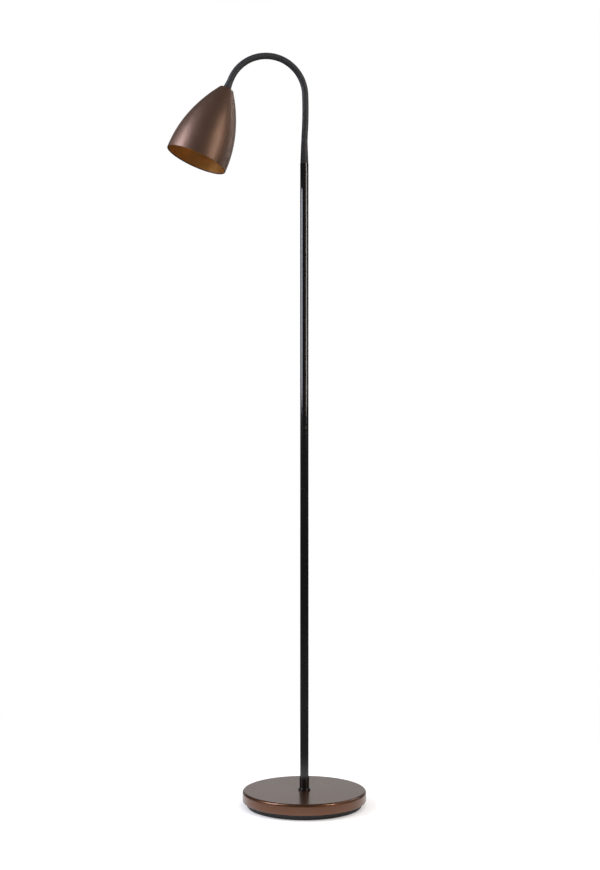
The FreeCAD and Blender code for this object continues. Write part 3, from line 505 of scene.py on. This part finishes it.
# ---------------------------------------------------------------- the neck's centre line
@dataclass(frozen=True)
class NeckLine:
    """Centre line of the neck: tangent arcs in the XZ plane, straight before the first and after the last."""

    foot_z: float = 1174.0
    foot_straight: float = 29.5
    head_straight: float = 20.0
    unit: float = 23.5
    arcs: tuple[tuple[int, float], ...] = ((1, -3.6), (3, 2.0), (4, 20.25), (4, 18.35))
    side_units: tuple[int, ...] = (2, 5, 8, 11)

    def heading(self, turn: np.ndarray) -> np.ndarray:
        """Direction after a turn from upright towards -X, in radians: (-sin, 0, cos)."""
        return np.stack([-np.sin(turn), np.zeros_like(turn), np.cos(turn)], axis=-1)

    def at(self, along: np.ndarray) -> tuple[np.ndarray, np.ndarray]:
        """Points and turns at distances along the line, counted from the end of the pole's ferrule.

        Over a distance d of an arc of curvature k the line moves by a chord of length sin(k d / 2) / (k / 2),
        and the chord heads half way through the turn.

        Args:
            along: distances in millimetres, negative on the straight below the first arc.
        Returns:
            Points as rows of 3, and turns in radians.
        """
        points = (self.foot_z + np.minimum(along, 0))[:, None] * Z_AXIS
        turns = np.zeros_like(along)
        start = 0.0
        for count, unit_turn in self.arcs + ((0, 0.0),):
            last = count == 0
            length = np.inf if last else count * self.unit
            bend = 0.0 if last else math.radians(unit_turn) / self.unit
            gone = np.clip(along - start, 0, length)
            chord = gone * np.sinc(bend * gone / math.tau)
            points = points + chord[:, None] * self.heading(turns + bend * gone / 2)
            turns = turns + bend * gone
            start += 0.0 if last else length
        return points, turns

    @property
    def bend_length(self) -> float:
        """Length of all the arcs."""
        return self.unit * sum(count for count, _ in self.arcs)

    @property
    def end(self) -> float:
        """Distance of the shade's crown along the line."""
        return self.bend_length + self.head_straight

    def pivots(self) -> np.ndarray:
        """Distances of the hinges: at each unit's start, at the middle of each side unit, and at the end."""
        count = sum(units for units, _ in self.arcs)
        starts = np.arange(count + 1) * self.unit
        middles = (np.array(self.side_units) - 0.5) * self.unit
        return np.sort(np.concatenate([starts, middles]))

    def head_axis(self) -> Axis:
        """The shade's axis, from the crown down."""
        points, turns = self.at(np.array([self.end]))
        return Axis(tuple(points[0]), tuple(self.heading(turns)[0]))

    def tube(self, along: np.ndarray, outer: np.ndarray, inner: np.ndarray, segments: int) -> np.ndarray:
        """A closed tube wall along the line.

        Round the line at distance s the wall's points are centre(s) + r(s) (cos a side + sin a Y). The grid
        goes up the outer radius and back down the inner one.

        Args:
            along: distances of the rings.
            outer: outer radius at each ring.
            inner: inner radius at each ring, 0 for a solid rod.
            segments: steps round the line.
        Returns:
            Points as an array of rows, segments and 3, closed in both directions.
        """
        centres, turns = self.at(along)
        side = self.heading(turns + math.pi / 2)
        angle = np.linspace(0, math.tau, segments, endpoint=False)
        ring = np.cos(angle)[None, :, None] * side[:, None, :] + np.sin(angle)[None, :, None] * Y_AXIS
        out = centres[:, None, :] + outer[:, None, None] * ring
        back = (centres[:, None, :] + inner[:, None, None] * ring)[::-1]
        return np.concatenate([out, back])


LINE = NeckLine()
HEAD = LINE.head_axis()


# ---------------------------------------------------------------- sub-assemblies
class Wardrobe:
    """Builds each finish once and dresses pieces and nodes with it."""

    def __init__(self) -> None:
        """Build every slot's material."""
        self.materials = {slot: finish.build() for slot, finish in FINISHES.items()}
        self.bell = BRONZE_BELL.build()
        # The bell's inside faces get a lighter, golden copy of the lacquer: a painted glow of bounced light.
        self.inside = BRONZE_WITH_PAINTED_GLOW.build()

    def dress(
        self, piece: bpy.types.Object, slot: Slot, body: str | None, nodes: tuple[str, ...] = (),
        own: tuple[bpy.types.Material, ...] = (),
    ) -> bpy.types.Object:
        """Give a new piece its finish, its body and the nodes that it stands for.

        Args:
            piece: the new object.
            slot: its material slot.
            body: the body it rides on, or None to leave it unattached.
            nodes: the frame's nodes that it replaces.
            own: the piece's own materials, where the slot's common one is not wanted.
        Returns:
            The same object.
        """
        for material in own or (self.materials[slot],):
            piece.data.materials.append(material)
        if body is not None:
            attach(piece, body)
        if nodes:
            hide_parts(*nodes)
        LOG.info("%s: %s, %d faces", piece.name, slot.value, len(piece.data.polygons))
        return piece

    def smooth_copy(self, name: str, node: str, slot: Slot, body: str) -> bpy.types.Object:
        """Stand a merged, smoothly shaded copy of a node's mesh in for the node itself."""
        mesh = frame["nodes"][node].data.copy()
        mesh.materials.clear()
        return self.dress(finish_mesh(name, mesh), slot, body, (node,))

    def dress_nodes(self) -> None:
        """Put each remaining node in its slot's finish."""
        slots = {part["node"]: Slot(part["material_slot"]) for part in frame["record"]["subparts"]}
        for name, node in frame["nodes"].items():
            node.data.materials.clear()
            node.data.materials.append(self.materials[slots[name]])


@dataclass
class Base:
    """Weighted base: bronze cover, black tray, foot pad and the socket for the pole."""

    wardrobe: Wardrobe
    radius: float = 110.0
    top_z: float = 29.4
    lip_z: float = 9.7
    wall: float = 1.5
    top_rounding: float = 4.0
    lip_rounding: float = 3.0
    lip_width: float = 7.6
    hole_radius: float = 5.1
    pad_radius: float = 98.0
    pad_thick: float = 1.2
    socket_flange_radius: float = 10.8
    socket_cuff_radius: float = 8.6
    socket_flange: float = 3.0
    socket_top: float = 24.1
    socket_floor: float = 3.0
    socket_bore: float = 7.6
    edge: float = 0.5
    cuff_edge: float = 0.4
    segments: int = 192
    socket_segments: int = 96

    def build(self) -> None:
        """Build and dress every piece of the base."""
        self.cover()
        self.foot()
        self.socket()
        self.wardrobe.smooth_copy("base_tray", "bottom_cover", Slot.TRAY, "stand")
        self.wardrobe.smooth_copy("inlet_gland", "cord_gland", Slot.TRAY, "stand")

    def cover(self) -> None:
        """Pressed cover: flat top, rounded edges and a lip rolled in, with one even wall."""
        inner = self.radius - self.wall
        lip = self.radius - self.lip_width
        outline = rounded_outline([
            (self.hole_radius, self.top_z, 0), (self.radius, self.top_z, self.top_rounding),
            (self.radius, self.lip_z, self.lip_rounding), (lip, self.lip_z, self.edge),
            (lip, self.lip_z + self.wall, self.edge),
            (inner, self.lip_z + self.wall, self.lip_rounding - self.wall),
            (inner, self.top_z - self.wall, self.top_rounding - self.wall),
            (self.hole_radius, self.top_z - self.wall, 0),
        ])
        piece = make_mesh("base_cover", UPRIGHT.turn(outline, self.segments), True, True)
        self.wardrobe.dress(piece, Slot.BRONZE, "stand", ("base_shell",))

    def foot(self) -> None:
        """Foam disc that the lamp stands on."""
        outline = rounded_outline([
            (0, 0, 0), (self.pad_radius, 0, self.edge),
            (self.pad_radius, self.pad_thick, 0), (0, self.pad_thick, 0),
        ], closed=False)
        piece = make_mesh("foot_disc", UPRIGHT.turn(outline, self.segments), False, True)
        self.wardrobe.dress(piece, Slot.FOAM, "stand", ("foot_pad",))

    def socket(self) -> None:
        """Turned socket: flange, cuff and the bottom that the pole stands on."""
        z = self.top_z
        outline = rounded_outline([
            (self.hole_radius, z, 0), (self.socket_flange_radius, z, 0),
            (self.socket_flange_radius, z + self.socket_flange, self.edge),
            (self.socket_cuff_radius, z + self.socket_flange, self.edge),
            (self.socket_cuff_radius, z + self.socket_top, self.cuff_edge),
            (self.socket_bore, z + self.socket_top, 0), (self.socket_bore, z + self.socket_floor, 0),
            (self.hole_radius, z + self.socket_floor, 0),
        ])
        piece = make_mesh("pole_holder", UPRIGHT.turn(outline, self.socket_segments), True, True)
        self.wardrobe.dress(piece, Slot.BLACK, "stand", ("pole_socket",))


@dataclass
class Pole:
    """The long glossy tube."""

    wardrobe: Wardrobe
    radius: float = 7.5
    bore: float = 6.0
    bottom_z: float = 32.4
    top_z: float = 1144.5
    edge: float = 0.4
    segments: int = 96

    def build(self) -> None:
        """Build and dress the tube."""
        outline = rounded_outline([
            (self.radius, self.bottom_z, self.edge), (self.radius, self.top_z, self.edge),
            (self.bore, self.top_z, 0), (self.bore, self.bottom_z, 0),
        ])
        piece = make_mesh("pole", UPRIGHT.turn(outline, self.segments), True, True)
        self.wardrobe.dress(piece, Slot.BLACK, "stand", ("pole_tube",))


@dataclass
class Neck:
    """Sleeve and lead of the gooseneck, each cut into one stretch for each hinge."""

    wardrobe: Wardrobe
    sleeve_radius: float = 5.7
    sleeve_wall: float = 0.8
    foot_radius: float = 7.2
    neck_radius: float = 6.15
    foot_taper: float = 10.5
    head_radius: float = 7.3
    head_taper: float = 14.0
    lead_radius: float = 2.0
    lead_tail: float = 22.0
    ring_step: float = 1.0
    seam_slack: float = 1.2
    sleeve_segments: int = 64
    lead_segments: int = 16
    chain: list[str] = field(default_factory=list)

    def build(self) -> None:
        """Build and dress every stretch of sleeve and lead."""
        self.chain = self.bodies_in_order()
        self.stretches(
            "neck_sleeve", Slot.SLEEVE, "gooseneck_sleeve", LINE.end, self.sleeve_segments, self.sleeve_radii
        )
        self.stretches(
            "neck_lead", Slot.CORD, "inner_lead", LINE.end + self.lead_tail, self.lead_segments,
            self.lead_radii,
        )

    def bodies_in_order(self) -> list[str]:
        """The bodies from the stand to the head, each joined to the one before."""
        after = {joint["parent"]: joint["child"] for joint in frame["joints"]}
        order = [next(parent for parent in after if parent not in after.values())]
        while order[-1] in after:
            order.append(after[order[-1]])
        return order

    def sleeve_radii(self, along: np.ndarray) -> tuple[np.ndarray, np.ndarray]:
        """Outer and inner radius of the sleeve: wide over each ferrule, eased into its own radius."""
        places = [-LINE.foot_straight, 0, self.foot_taper, LINE.end - self.head_taper, LINE.end]
        radii = [self.foot_radius, self.neck_radius, self.sleeve_radius, self.sleeve_radius, self.head_radius]
        outer = np.interp(along, places, radii)
        return outer, outer - self.sleeve_wall

    def lead_radii(self, along: np.ndarray) -> tuple[np.ndarray, np.ndarray]:
        """Outer and inner radius of the lead, which is solid."""
        outer = np.full_like(along, self.lead_radius)
        return outer, np.zeros_like(along)

    def stretches(
        self, name: str, slot: Slot, node: str, end: float, segments: int, radii: Radii
    ) -> None:
        """Cut one skin of the neck into a stretch for each hinge.

        A stretch runs from half way to the hinge before to half way to the hinge after.

        Args:
            name: the pieces' name, which gets a number.
            slot: their material slot.
            node: the frame's node that they stand for.
            end: where the last stretch ends, along the line.
            segments: steps round the line.
            radii: gives the outer and inner radius at distances along the line.
        """
        pivots = LINE.pivots()
        halves = (pivots[:-1] + pivots[1:]) / 2
        cuts = np.concatenate([[-LINE.foot_straight], halves, [end]])
        for number, (start, stop) in enumerate(zip(cuts[:-1], cuts[1:])):
            steps = int(math.ceil((stop - start) / self.ring_step)) + 1
            along = np.linspace(start, stop, steps)
            outer, inner = radii(along)
            grid = LINE.tube(along, outer, inner, segments)
            piece = make_mesh(f"{name}_{number + 1:02d}", grid, True, True)
            nodes = (node,) if number == 0 else ()
            self.wardrobe.dress(piece, slot, None, nodes)
            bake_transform(piece)


@dataclass
class StandLead:
    """The lead from the terminal block, round a bend under the nipple and up the pole."""

    wardrobe: Wardrobe
    radius: float = 2.0
    core_radius: float = 0.8
    wire_z: float = 8.2
    nipple_z: float = 17.4
    run_end_y: float = 31.5
    way_x: float = 4.0
    way_y: float = 42.5
    top_z: float = 1144.5
    bend_points: int = 13
    segments: int = 16

    def build(self) -> None:
        """Build and dress the lead and its two cores."""
        bend = self.nipple_z - self.wire_z
        angle = np.linspace(0, math.pi / 2, self.bend_points)
        arc = np.stack([
            np.zeros(self.bend_points), bend - bend * np.sin(angle), self.nipple_z - bend * np.cos(angle)
        ], axis=-1)
        route = np.vstack([[0, self.run_end_y, self.wire_z], arc, [0, 0, self.top_z]])
        piece = self.rod("stand_lead", route, self.radius)
        self.wardrobe.dress(piece, Slot.CORD, "stand")
        for number, side in enumerate((-1, 1), start=1):
            core = np.array([
                [side * self.core_radius, self.run_end_y, self.wire_z],
                [side * self.way_x, self.way_y, self.wire_z],
            ])
            piece = self.rod(f"lead_core_{number}", core, self.core_radius)
            self.wardrobe.dress(piece, Slot.CORD, "stand")

    def rod(self, name: str, route: np.ndarray, radius: float) -> bpy.types.Object:
        """A closed rod along a flat route.

        At each point the ring is radius (cos a u + sin a v), where u is square to the route's mean direction
        there and to v, and v is square to the plane of the route.

        Args:
            name: the piece's name.
            route: points in millimetres.
            radius: the rod's radius.
        Returns:
            The new object.
        """
        steps = np.diff(route, axis=0)
        steps = steps / np.linalg.norm(steps, axis=1)[:, None]
        along = np.vstack([steps[:1], steps[:-1] + steps[1:], steps[-1:]])
        along = along / np.linalg.norm(along, axis=1)[:, None]
        flat = np.ptp(route[:, 2]) < FLAT_ROUTE
        square = Z_AXIS if flat else np.array([1.0, 0.0, 0.0])
        side = np.cross(along, square)
        angle = np.linspace(0, math.tau, self.segments, endpoint=False)
        ring = np.cos(angle)[None, :, None] * side[:, None, :] + np.sin(angle)[None, :, None] * square
        rings = route[:, None, :] + radius * ring
        first, last = (np.repeat(end[None, None], self.segments, 1) for end in (route[0], route[-1]))
        closed = np.concatenate([first, rings, last])
        return make_mesh(name, closed, False, True)


@dataclass
class Shade:
    """Spun bell on the end of the neck."""

    wardrobe: Wardrobe
    length: float = 138.0
    wall: float = 1.0
    crown_radius: float = 12.6
    crown_rounding: float = 1.4
    mouth_radius: float = 55.0
    shoulder_pull: float = 30.0
    mouth_pull: float = 1.4
    hole_radius: float = 5.1
    rim_rounding: float = 0.35
    segments: int = 192
    rows: int = 60
    crown_rows: int = 6
    rim_rows: int = 2

    def profile(self, inset: float, start: float) -> np.ndarray:
        """The bell's side from crown to mouth, drawn in by a wall.

        It is a Bezier curve: the sum of the four poles, weighted by (1-t)^3, 3t(1-t)^2, 3t^2(1-t) and t^3.
        """
        t = np.linspace(0, 1, self.rows)[:, None]
        top, mouth, span = self.crown_radius - inset, self.mouth_radius - inset, self.length - start
        poles = np.array([
            [top, start], [top + self.shoulder_pull, start + span / 3],
            [mouth + self.mouth_pull, start + span * 2 / 3], [mouth, self.length],
        ])
        from_crown = poles[0] * (1 - t) ** 3 + poles[1] * 3 * t * (1 - t) ** 2
        from_mouth = poles[2] * 3 * t * t * (1 - t) + poles[3] * t ** 3
        return from_crown + from_mouth

    def build(self) -> None:
        """Build and dress the bell, with a painted glow of bounced light on its inside faces."""
        outside = self.profile(0, 0)
        inside = self.profile(self.wall, self.wall)
        crown = rounded_outline([
            (self.hole_radius, 0, 0), (self.crown_radius, 0, self.crown_rounding),
            (*outside[self.crown_rows], 0),
        ], closed=False)
        rim = rounded_outline([
            (*outside[-self.rim_rows], 0), (self.mouth_radius, self.length, self.rim_rounding),
            (self.mouth_radius - self.wall, self.length, self.rim_rounding), (*inside[-self.rim_rows], 0),
        ], closed=False)
        side = outside[self.crown_rows + 1:-self.rim_rows]
        outline = np.vstack([
            crown, side, rim, inside[1:-self.rim_rows][::-1],
            [[self.crown_radius - self.wall, self.wall], [self.hole_radius, self.wall]],
        ])
        # Rows from the bell's inside on take the second material, the lacquer with the painted bounce glow.
        row_finish = np.zeros(len(outline), int)
        inner_from = len(crown) + len(side) + len(rim) - 1
        row_finish[inner_from:] = 1
        piece = make_mesh("bell_shade", HEAD.turn(outline, self.segments), True, True, row_finish)
        own = (self.wardrobe.bell, self.wardrobe.inside)
        self.wardrobe.dress(piece, Slot.BRONZE, "head", ("shade",), own)


@dataclass
class LampHolder:
    """Lampholder and bulb inside the bell, in depths below its crown."""

    wardrobe: Wardrobe
    stub_radius: float = 5.0
    cap_at: float = 8.4
    cap_top_radius: float = 9.0
    shoulder_at: float = 15.0
    carrier_at: float = 22.0
    carrier_end: float = 29.0
    skirt_end: float = 48.0
    radius: float = 13.4
    wall: float = 1.6
    bore: float = 7.9
    housing_at: float = 52.0
    housing_radius: float = 7.9
    globe_seat_at: float = 69.0
    globe_seat_radius: float = 16.75
    globe_radius: float = 22.5
    glass: float = 0.9
    cap_rounding: float = 1.2
    shoulder_rounding: float = 2.5
    joint_edge: float = 0.2
    skirt_rounding: float = 1.0
    bore_edge: float = 0.5
    housing_edge: float = 0.6
    seat_edge: float = 0.4
    ball_rows: int = 40
    segments: int = 96

    def build(self) -> None:
        """Build and dress cap, skirt, bulb housing and globe."""
        inner = self.radius - self.wall
        self.turned("lampholder_dome", "lampholder_cap", Slot.HOLDER, [
            (self.stub_radius, self.cap_at, 0), (self.cap_top_radius, self.cap_at, self.cap_rounding),
            (self.radius, self.shoulder_at, self.shoulder_rounding),
            (self.radius, self.carrier_at, self.joint_edge),
            (inner, self.carrier_at, 0), (inner, self.shoulder_at + self.wall, 0),
            (self.stub_radius, self.shoulder_at, 0),
        ])
        self.turned("lampholder_barrel", "lampholder_skirt", Slot.HOLDER, [
            (inner, self.carrier_at, 0), (self.radius, self.carrier_at, self.joint_edge),
            (self.radius, self.skirt_end, self.skirt_rounding), (self.bore, self.skirt_end, self.bore_edge),
            (self.bore, self.carrier_end, 0), (inner, self.carrier_end, 0),
        ])
        self.housing()
        self.globe()

    def turned(self, name: str, node: str, slot: Slot, corners: list[tuple[float, float, float]]) -> None:
        """Build and dress one closed turned piece of the lampholder."""
        grid = HEAD.turn(rounded_outline(corners), self.segments)
        self.wardrobe.dress(make_mesh(name, grid, True, True), slot, "head", (node,))

    def housing(self) -> None:
        """Tapered plastic neck of the bulb, closed at both ends."""
        outline = rounded_outline([
            (0, self.housing_at, 0), (self.housing_radius, self.housing_at, self.housing_edge),
            (self.globe_seat_radius, self.globe_seat_at, self.seat_edge), (0, self.globe_seat_at, 0),
        ], closed=False)
        grid = HEAD.turn(outline, self.segments)
        piece = make_mesh("bulb_neck", grid, False, True)
        self.wardrobe.dress(piece, Slot.BULB, "head", ("bulb_housing",))

    def globe(self) -> None:
        """Opal ball with its wall, open where it sits on the housing.

        At an angle a from the far pole the ball's point is (R sin a, centre + R cos a).
        """
        drop = math.sqrt(self.globe_radius ** 2 - self.globe_seat_radius ** 2)
        centre = self.globe_seat_at + drop
        inner = self.globe_radius - self.glass
        outer_turn = np.linspace(0, math.acos(-drop / self.globe_radius), self.ball_rows)
        inner_turn = np.linspace(math.acos(-drop / inner), 0, self.ball_rows)
        outside = np.stack([np.sin(outer_turn), np.cos(outer_turn)], -1) * self.globe_radius
        inside = np.stack([np.sin(inner_turn), np.cos(inner_turn)], -1) * inner
        outline = np.vstack([outside, inside]) + [0, centre]
        grid = HEAD.turn(outline, self.segments)
        piece = make_mesh("bulb_ball", grid, False, True)
        self.wardrobe.dress(piece, Slot.OPAL, "head", ("bulb_globe",))


# ---------------------------------------------------------------- studio
@dataclass(frozen=True)
class Viewpoint:
    """Level camera in front of the lamp, a little to the side that the shade hangs on.

    Its place and lens put the base, the pole and the neck where they are in the picture. Lens and sensor are
    millimetres.
    """

    distance: float = 2.640
    height: float = 0.66085
    turn: float = math.radians(14.4)
    shift_right: float = -0.00775
    lens: float = 61.33
    sensor: float = 36.0

    @property
    def forward(self) -> np.ndarray:
        """Direction from the camera to the pole."""
        return np.array([math.sin(self.turn), math.cos(self.turn), 0.0])

    @property
    def right(self) -> np.ndarray:
        """Direction to the right in the picture."""
        return np.array([math.cos(self.turn), -math.sin(self.turn), 0.0])

    def build(self) -> None:
        """Make the camera and look through it."""
        data = bpy.data.cameras.new("camera")
        data.lens = self.lens
        data.sensor_width = self.sensor
        camera = bpy.data.objects.new("camera", data)
        place = -self.forward * self.distance + self.right * self.shift_right
        camera.location = (place[0], place[1], self.height)
        camera.rotation_euler = (math.pi / 2, 0.0, -self.turn)
        bpy.context.scene.collection.objects.link(camera)
        bpy.context.scene.camera = camera


@dataclass(frozen=True)
class SoftBox:
    """One soft lamp, turned to a point of the pole.

    Seen from the floor lamp, side is the angle from the camera round to its right, in degrees. Power is in
    watts. A box that is not in_gloss lights the colours and shows in no highlight.
    """

    name: str
    side: float
    distance: float
    height: float
    width: float
    tall: float
    power: float
    colour: str
    aim_height: float = 0.9
    in_gloss: bool = True

    def build(self, view: Viewpoint) -> None:
        """Hang the lamp in its place."""
        angle = math.radians(self.side)
        out = -view.forward * math.cos(angle) + view.right * math.sin(angle)
        data = bpy.data.lights.new(self.name, "AREA")
        data.shape = "RECTANGLE"
        data.size = self.width
        data.size_y = self.tall
        data.energy = self.power
        data.color = linear(self.colour)[:3]
        lamp = bpy.data.objects.new(self.name, data)
        place = out * self.distance + np.array([0, 0, self.height])
        lamp.location = place
        lamp.visible_glossy = self.in_gloss
        aim = np.array([0, 0, self.aim_height]) - place
        lamp.rotation_euler = (
            math.acos(-aim[2] / np.linalg.norm(aim)), 0.0, math.atan2(aim[1], aim[0]) - math.pi / 2
        )
        bpy.context.scene.collection.objects.link(lamp)


@dataclass(frozen=True)
class Studio:
    """Pale room: soft lamps, a white surround and a white floor that keeps the lamp's shadow.

    The greys are the surround's brightness, in gloss at the sides and at the back, and as diffuse light. The
    floor turns from shaded paper to plain white between floor_near and floor_far, and what shiny pieces
    see of it gets darker between gloss_near and gloss_far.
    """

    view: Viewpoint = Viewpoint()
    lamps: tuple[SoftBox, ...] = (
        SoftBox("left_box", -72, 1.5, 1.5, 0.5, 1.6, 23, "#ebeeff"),
        SoftBox("right_box", 56, 1.9, 1.5, 0.3, 1.6, 14, "#fff1e2"),
        SoftBox("right_strip", 122, 1.6, 1.5, 0.15, 1.6, 4, "#ffffff"),
        SoftBox("top_box", 20, 0.9, 2.6, 1.2, 1.2, 14, "#ffffff", 0.0, in_gloss=False),
    )
    side_grey: float = 0.07
    back_grey: float = 0.5
    ambient: float = 0.38
    back_begins: float = 0.8
    back_full: float = 0.97
    paper: str = "#f4f4f4"
    paper_in_gloss: str = "#646464"
    floor_rings: tuple[float, ...] = (0.0, 0.4, 1.2, 8.0)
    floor_segments: int = 96
    floor_near: float = 0.35
    floor_far: float = 1.1
    gloss_near: float = 0.11
    gloss_far: float = 0.45
    floor_glow: float = 0.35

    def build(self) -> None:
        """Set up view, lamps, world and floor."""
        scene = bpy.context.scene
        scene.view_settings.view_transform = "Standard"
        self.view.build()
        for lamp in self.lamps:
            lamp.build(self.view)
        self.world()
        self.floor()

    def world(self) -> None:
        """White where it is looked at; in gloss, pale behind the lamp and dark at its sides."""
        world = bpy.data.worlds.new("surround")
        bpy.context.scene.world = world
        world.use_nodes = True
        tree = world.node_tree
        tree.nodes.clear()
        path = add_node(tree, "ShaderNodeLightPath")
        direction = add_node(tree, "ShaderNodeTexCoord").outputs["Generated"]
        backward = add_node(
            tree, "ShaderNodeVectorMath", {"operation": "DOT_PRODUCT"},
            {1: tuple(self.view.forward)}, {0: direction},
        ).outputs["Value"]
        studio = add_node(
            tree, "ShaderNodeMapRange", {"interpolation_type": "SMOOTHSTEP"},
            {
                "From Min": self.back_begins, "From Max": self.back_full,
                "To Min": self.side_grey, "To Max": self.back_grey,
            },
            {"Value": backward},
        ).outputs[0]
        shiny = add_node(
            tree, "ShaderNodeMath", {"operation": "MAXIMUM"},
            links={0: path.outputs["Is Glossy Ray"], 1: path.outputs["Is Transmission Ray"]},
        ).outputs[0]
        level = add_node(
            tree, "ShaderNodeMix", {"data_type": "FLOAT"}, {2: self.ambient}, {0: shiny, 3: studio}
        ).outputs[0]
        seen = add_node(
            tree, "ShaderNodeMix", {"data_type": "FLOAT"}, {3: 1.0},
            {0: path.outputs["Is Camera Ray"], 2: level},
        ).outputs[0]
        light = add_node(
            tree, "ShaderNodeBackground", values={"Color": (1, 1, 1, 1)}, links={"Strength": seen}
        )
        add_node(tree, "ShaderNodeOutputWorld", links={"Surface": light.outputs[0]})

    def floor(self) -> None:
        """White floor: it takes the lamp's shadow near the foot and is plain white further out."""
        angle = np.linspace(0, math.tau, self.floor_segments, endpoint=False)
        radii = np.array(self.floor_rings) / MM
        circle = np.stack([np.cos(angle), np.sin(angle), np.zeros_like(angle)], axis=-1)
        grid = radii[:, None, None] * circle[None]
        piece = make_mesh("floor", grid, False, True)
        piece.data.materials.append(self.floor_material())

    def floor_material(self) -> bpy.types.Material:
        """Matt white sheet that glows to the eye, so that it is white, and keeps the shadow near the foot."""
        material = bpy.data.materials.new("white_paper_sweep")
        material.use_nodes = True
        tree = material.node_tree
        tree.nodes.clear()
        path = add_node(tree, "ShaderNodeLightPath")
        seen = path.outputs["Is Camera Ray"]
        place = add_node(tree, "ShaderNodeTexCoord").outputs["Object"]
        reach = add_node(
            tree, "ShaderNodeVectorMath", {"operation": "LENGTH"}, links={0: place}
        ).outputs["Value"]
        far, dim = (
            add_node(
                tree, "ShaderNodeMapRange", {"interpolation_type": "SMOOTHSTEP"},
                {"From Min": start, "From Max": end}, {"Value": reach},
            ).outputs[0]
            for start, end in ((self.floor_near, self.floor_far), (self.gloss_near, self.gloss_far))
        )
        dim_in_gloss = add_node(
            tree, "ShaderNodeMath", {"operation": "MULTIPLY"},
            links={0: dim, 1: path.outputs["Is Glossy Ray"]},
        ).outputs[0]
        glow_strength = add_node(
            tree, "ShaderNodeMath", {"operation": "MULTIPLY"}, {1: self.floor_glow}, {0: seen}
        ).outputs[0]
        sheet = add_node(
            tree, "ShaderNodeMix", {"data_type": "RGBA"},
            {6: linear(self.paper), 7: linear(self.paper_in_gloss)}, {0: dim_in_gloss},
        ).outputs[2]
        matt = add_node(tree, "ShaderNodeBsdfDiffuse", links={"Color": sheet})
        glow = add_node(tree, "ShaderNodeEmission", links={"Strength": glow_strength})
        near = add_node(tree, "ShaderNodeAddShader", links={0: matt.outputs[0], 1: glow.outputs[0]})
        white = add_node(tree, "ShaderNodeEmission")
        far_seen = add_node(
            tree, "ShaderNodeMath", {"operation": "MULTIPLY"}, links={0: far, 1: seen}
        ).outputs[0]
        mix = add_node(
            tree, "ShaderNodeMixShader", links={0: far_seen, 1: near.outputs[0], 2: white.outputs[0]}
        )
        add_node(tree, "ShaderNodeOutputMaterial", links={"Surface": mix.outputs[0]})
        return material


def main() -> None:
    """Build the lamp's pieces and the studio in order."""
    logging.basicConfig(level=logging.INFO)
    wardrobe = Wardrobe()
    wardrobe.dress_nodes()
    for assembly in (Base, Pole, Neck, StandLead, Shade, LampHolder):
        LOG.info("building %s", assembly.__name__)
        assembly(wardrobe).build()
    Studio().build()


if __name__ == "__main__":
    main()
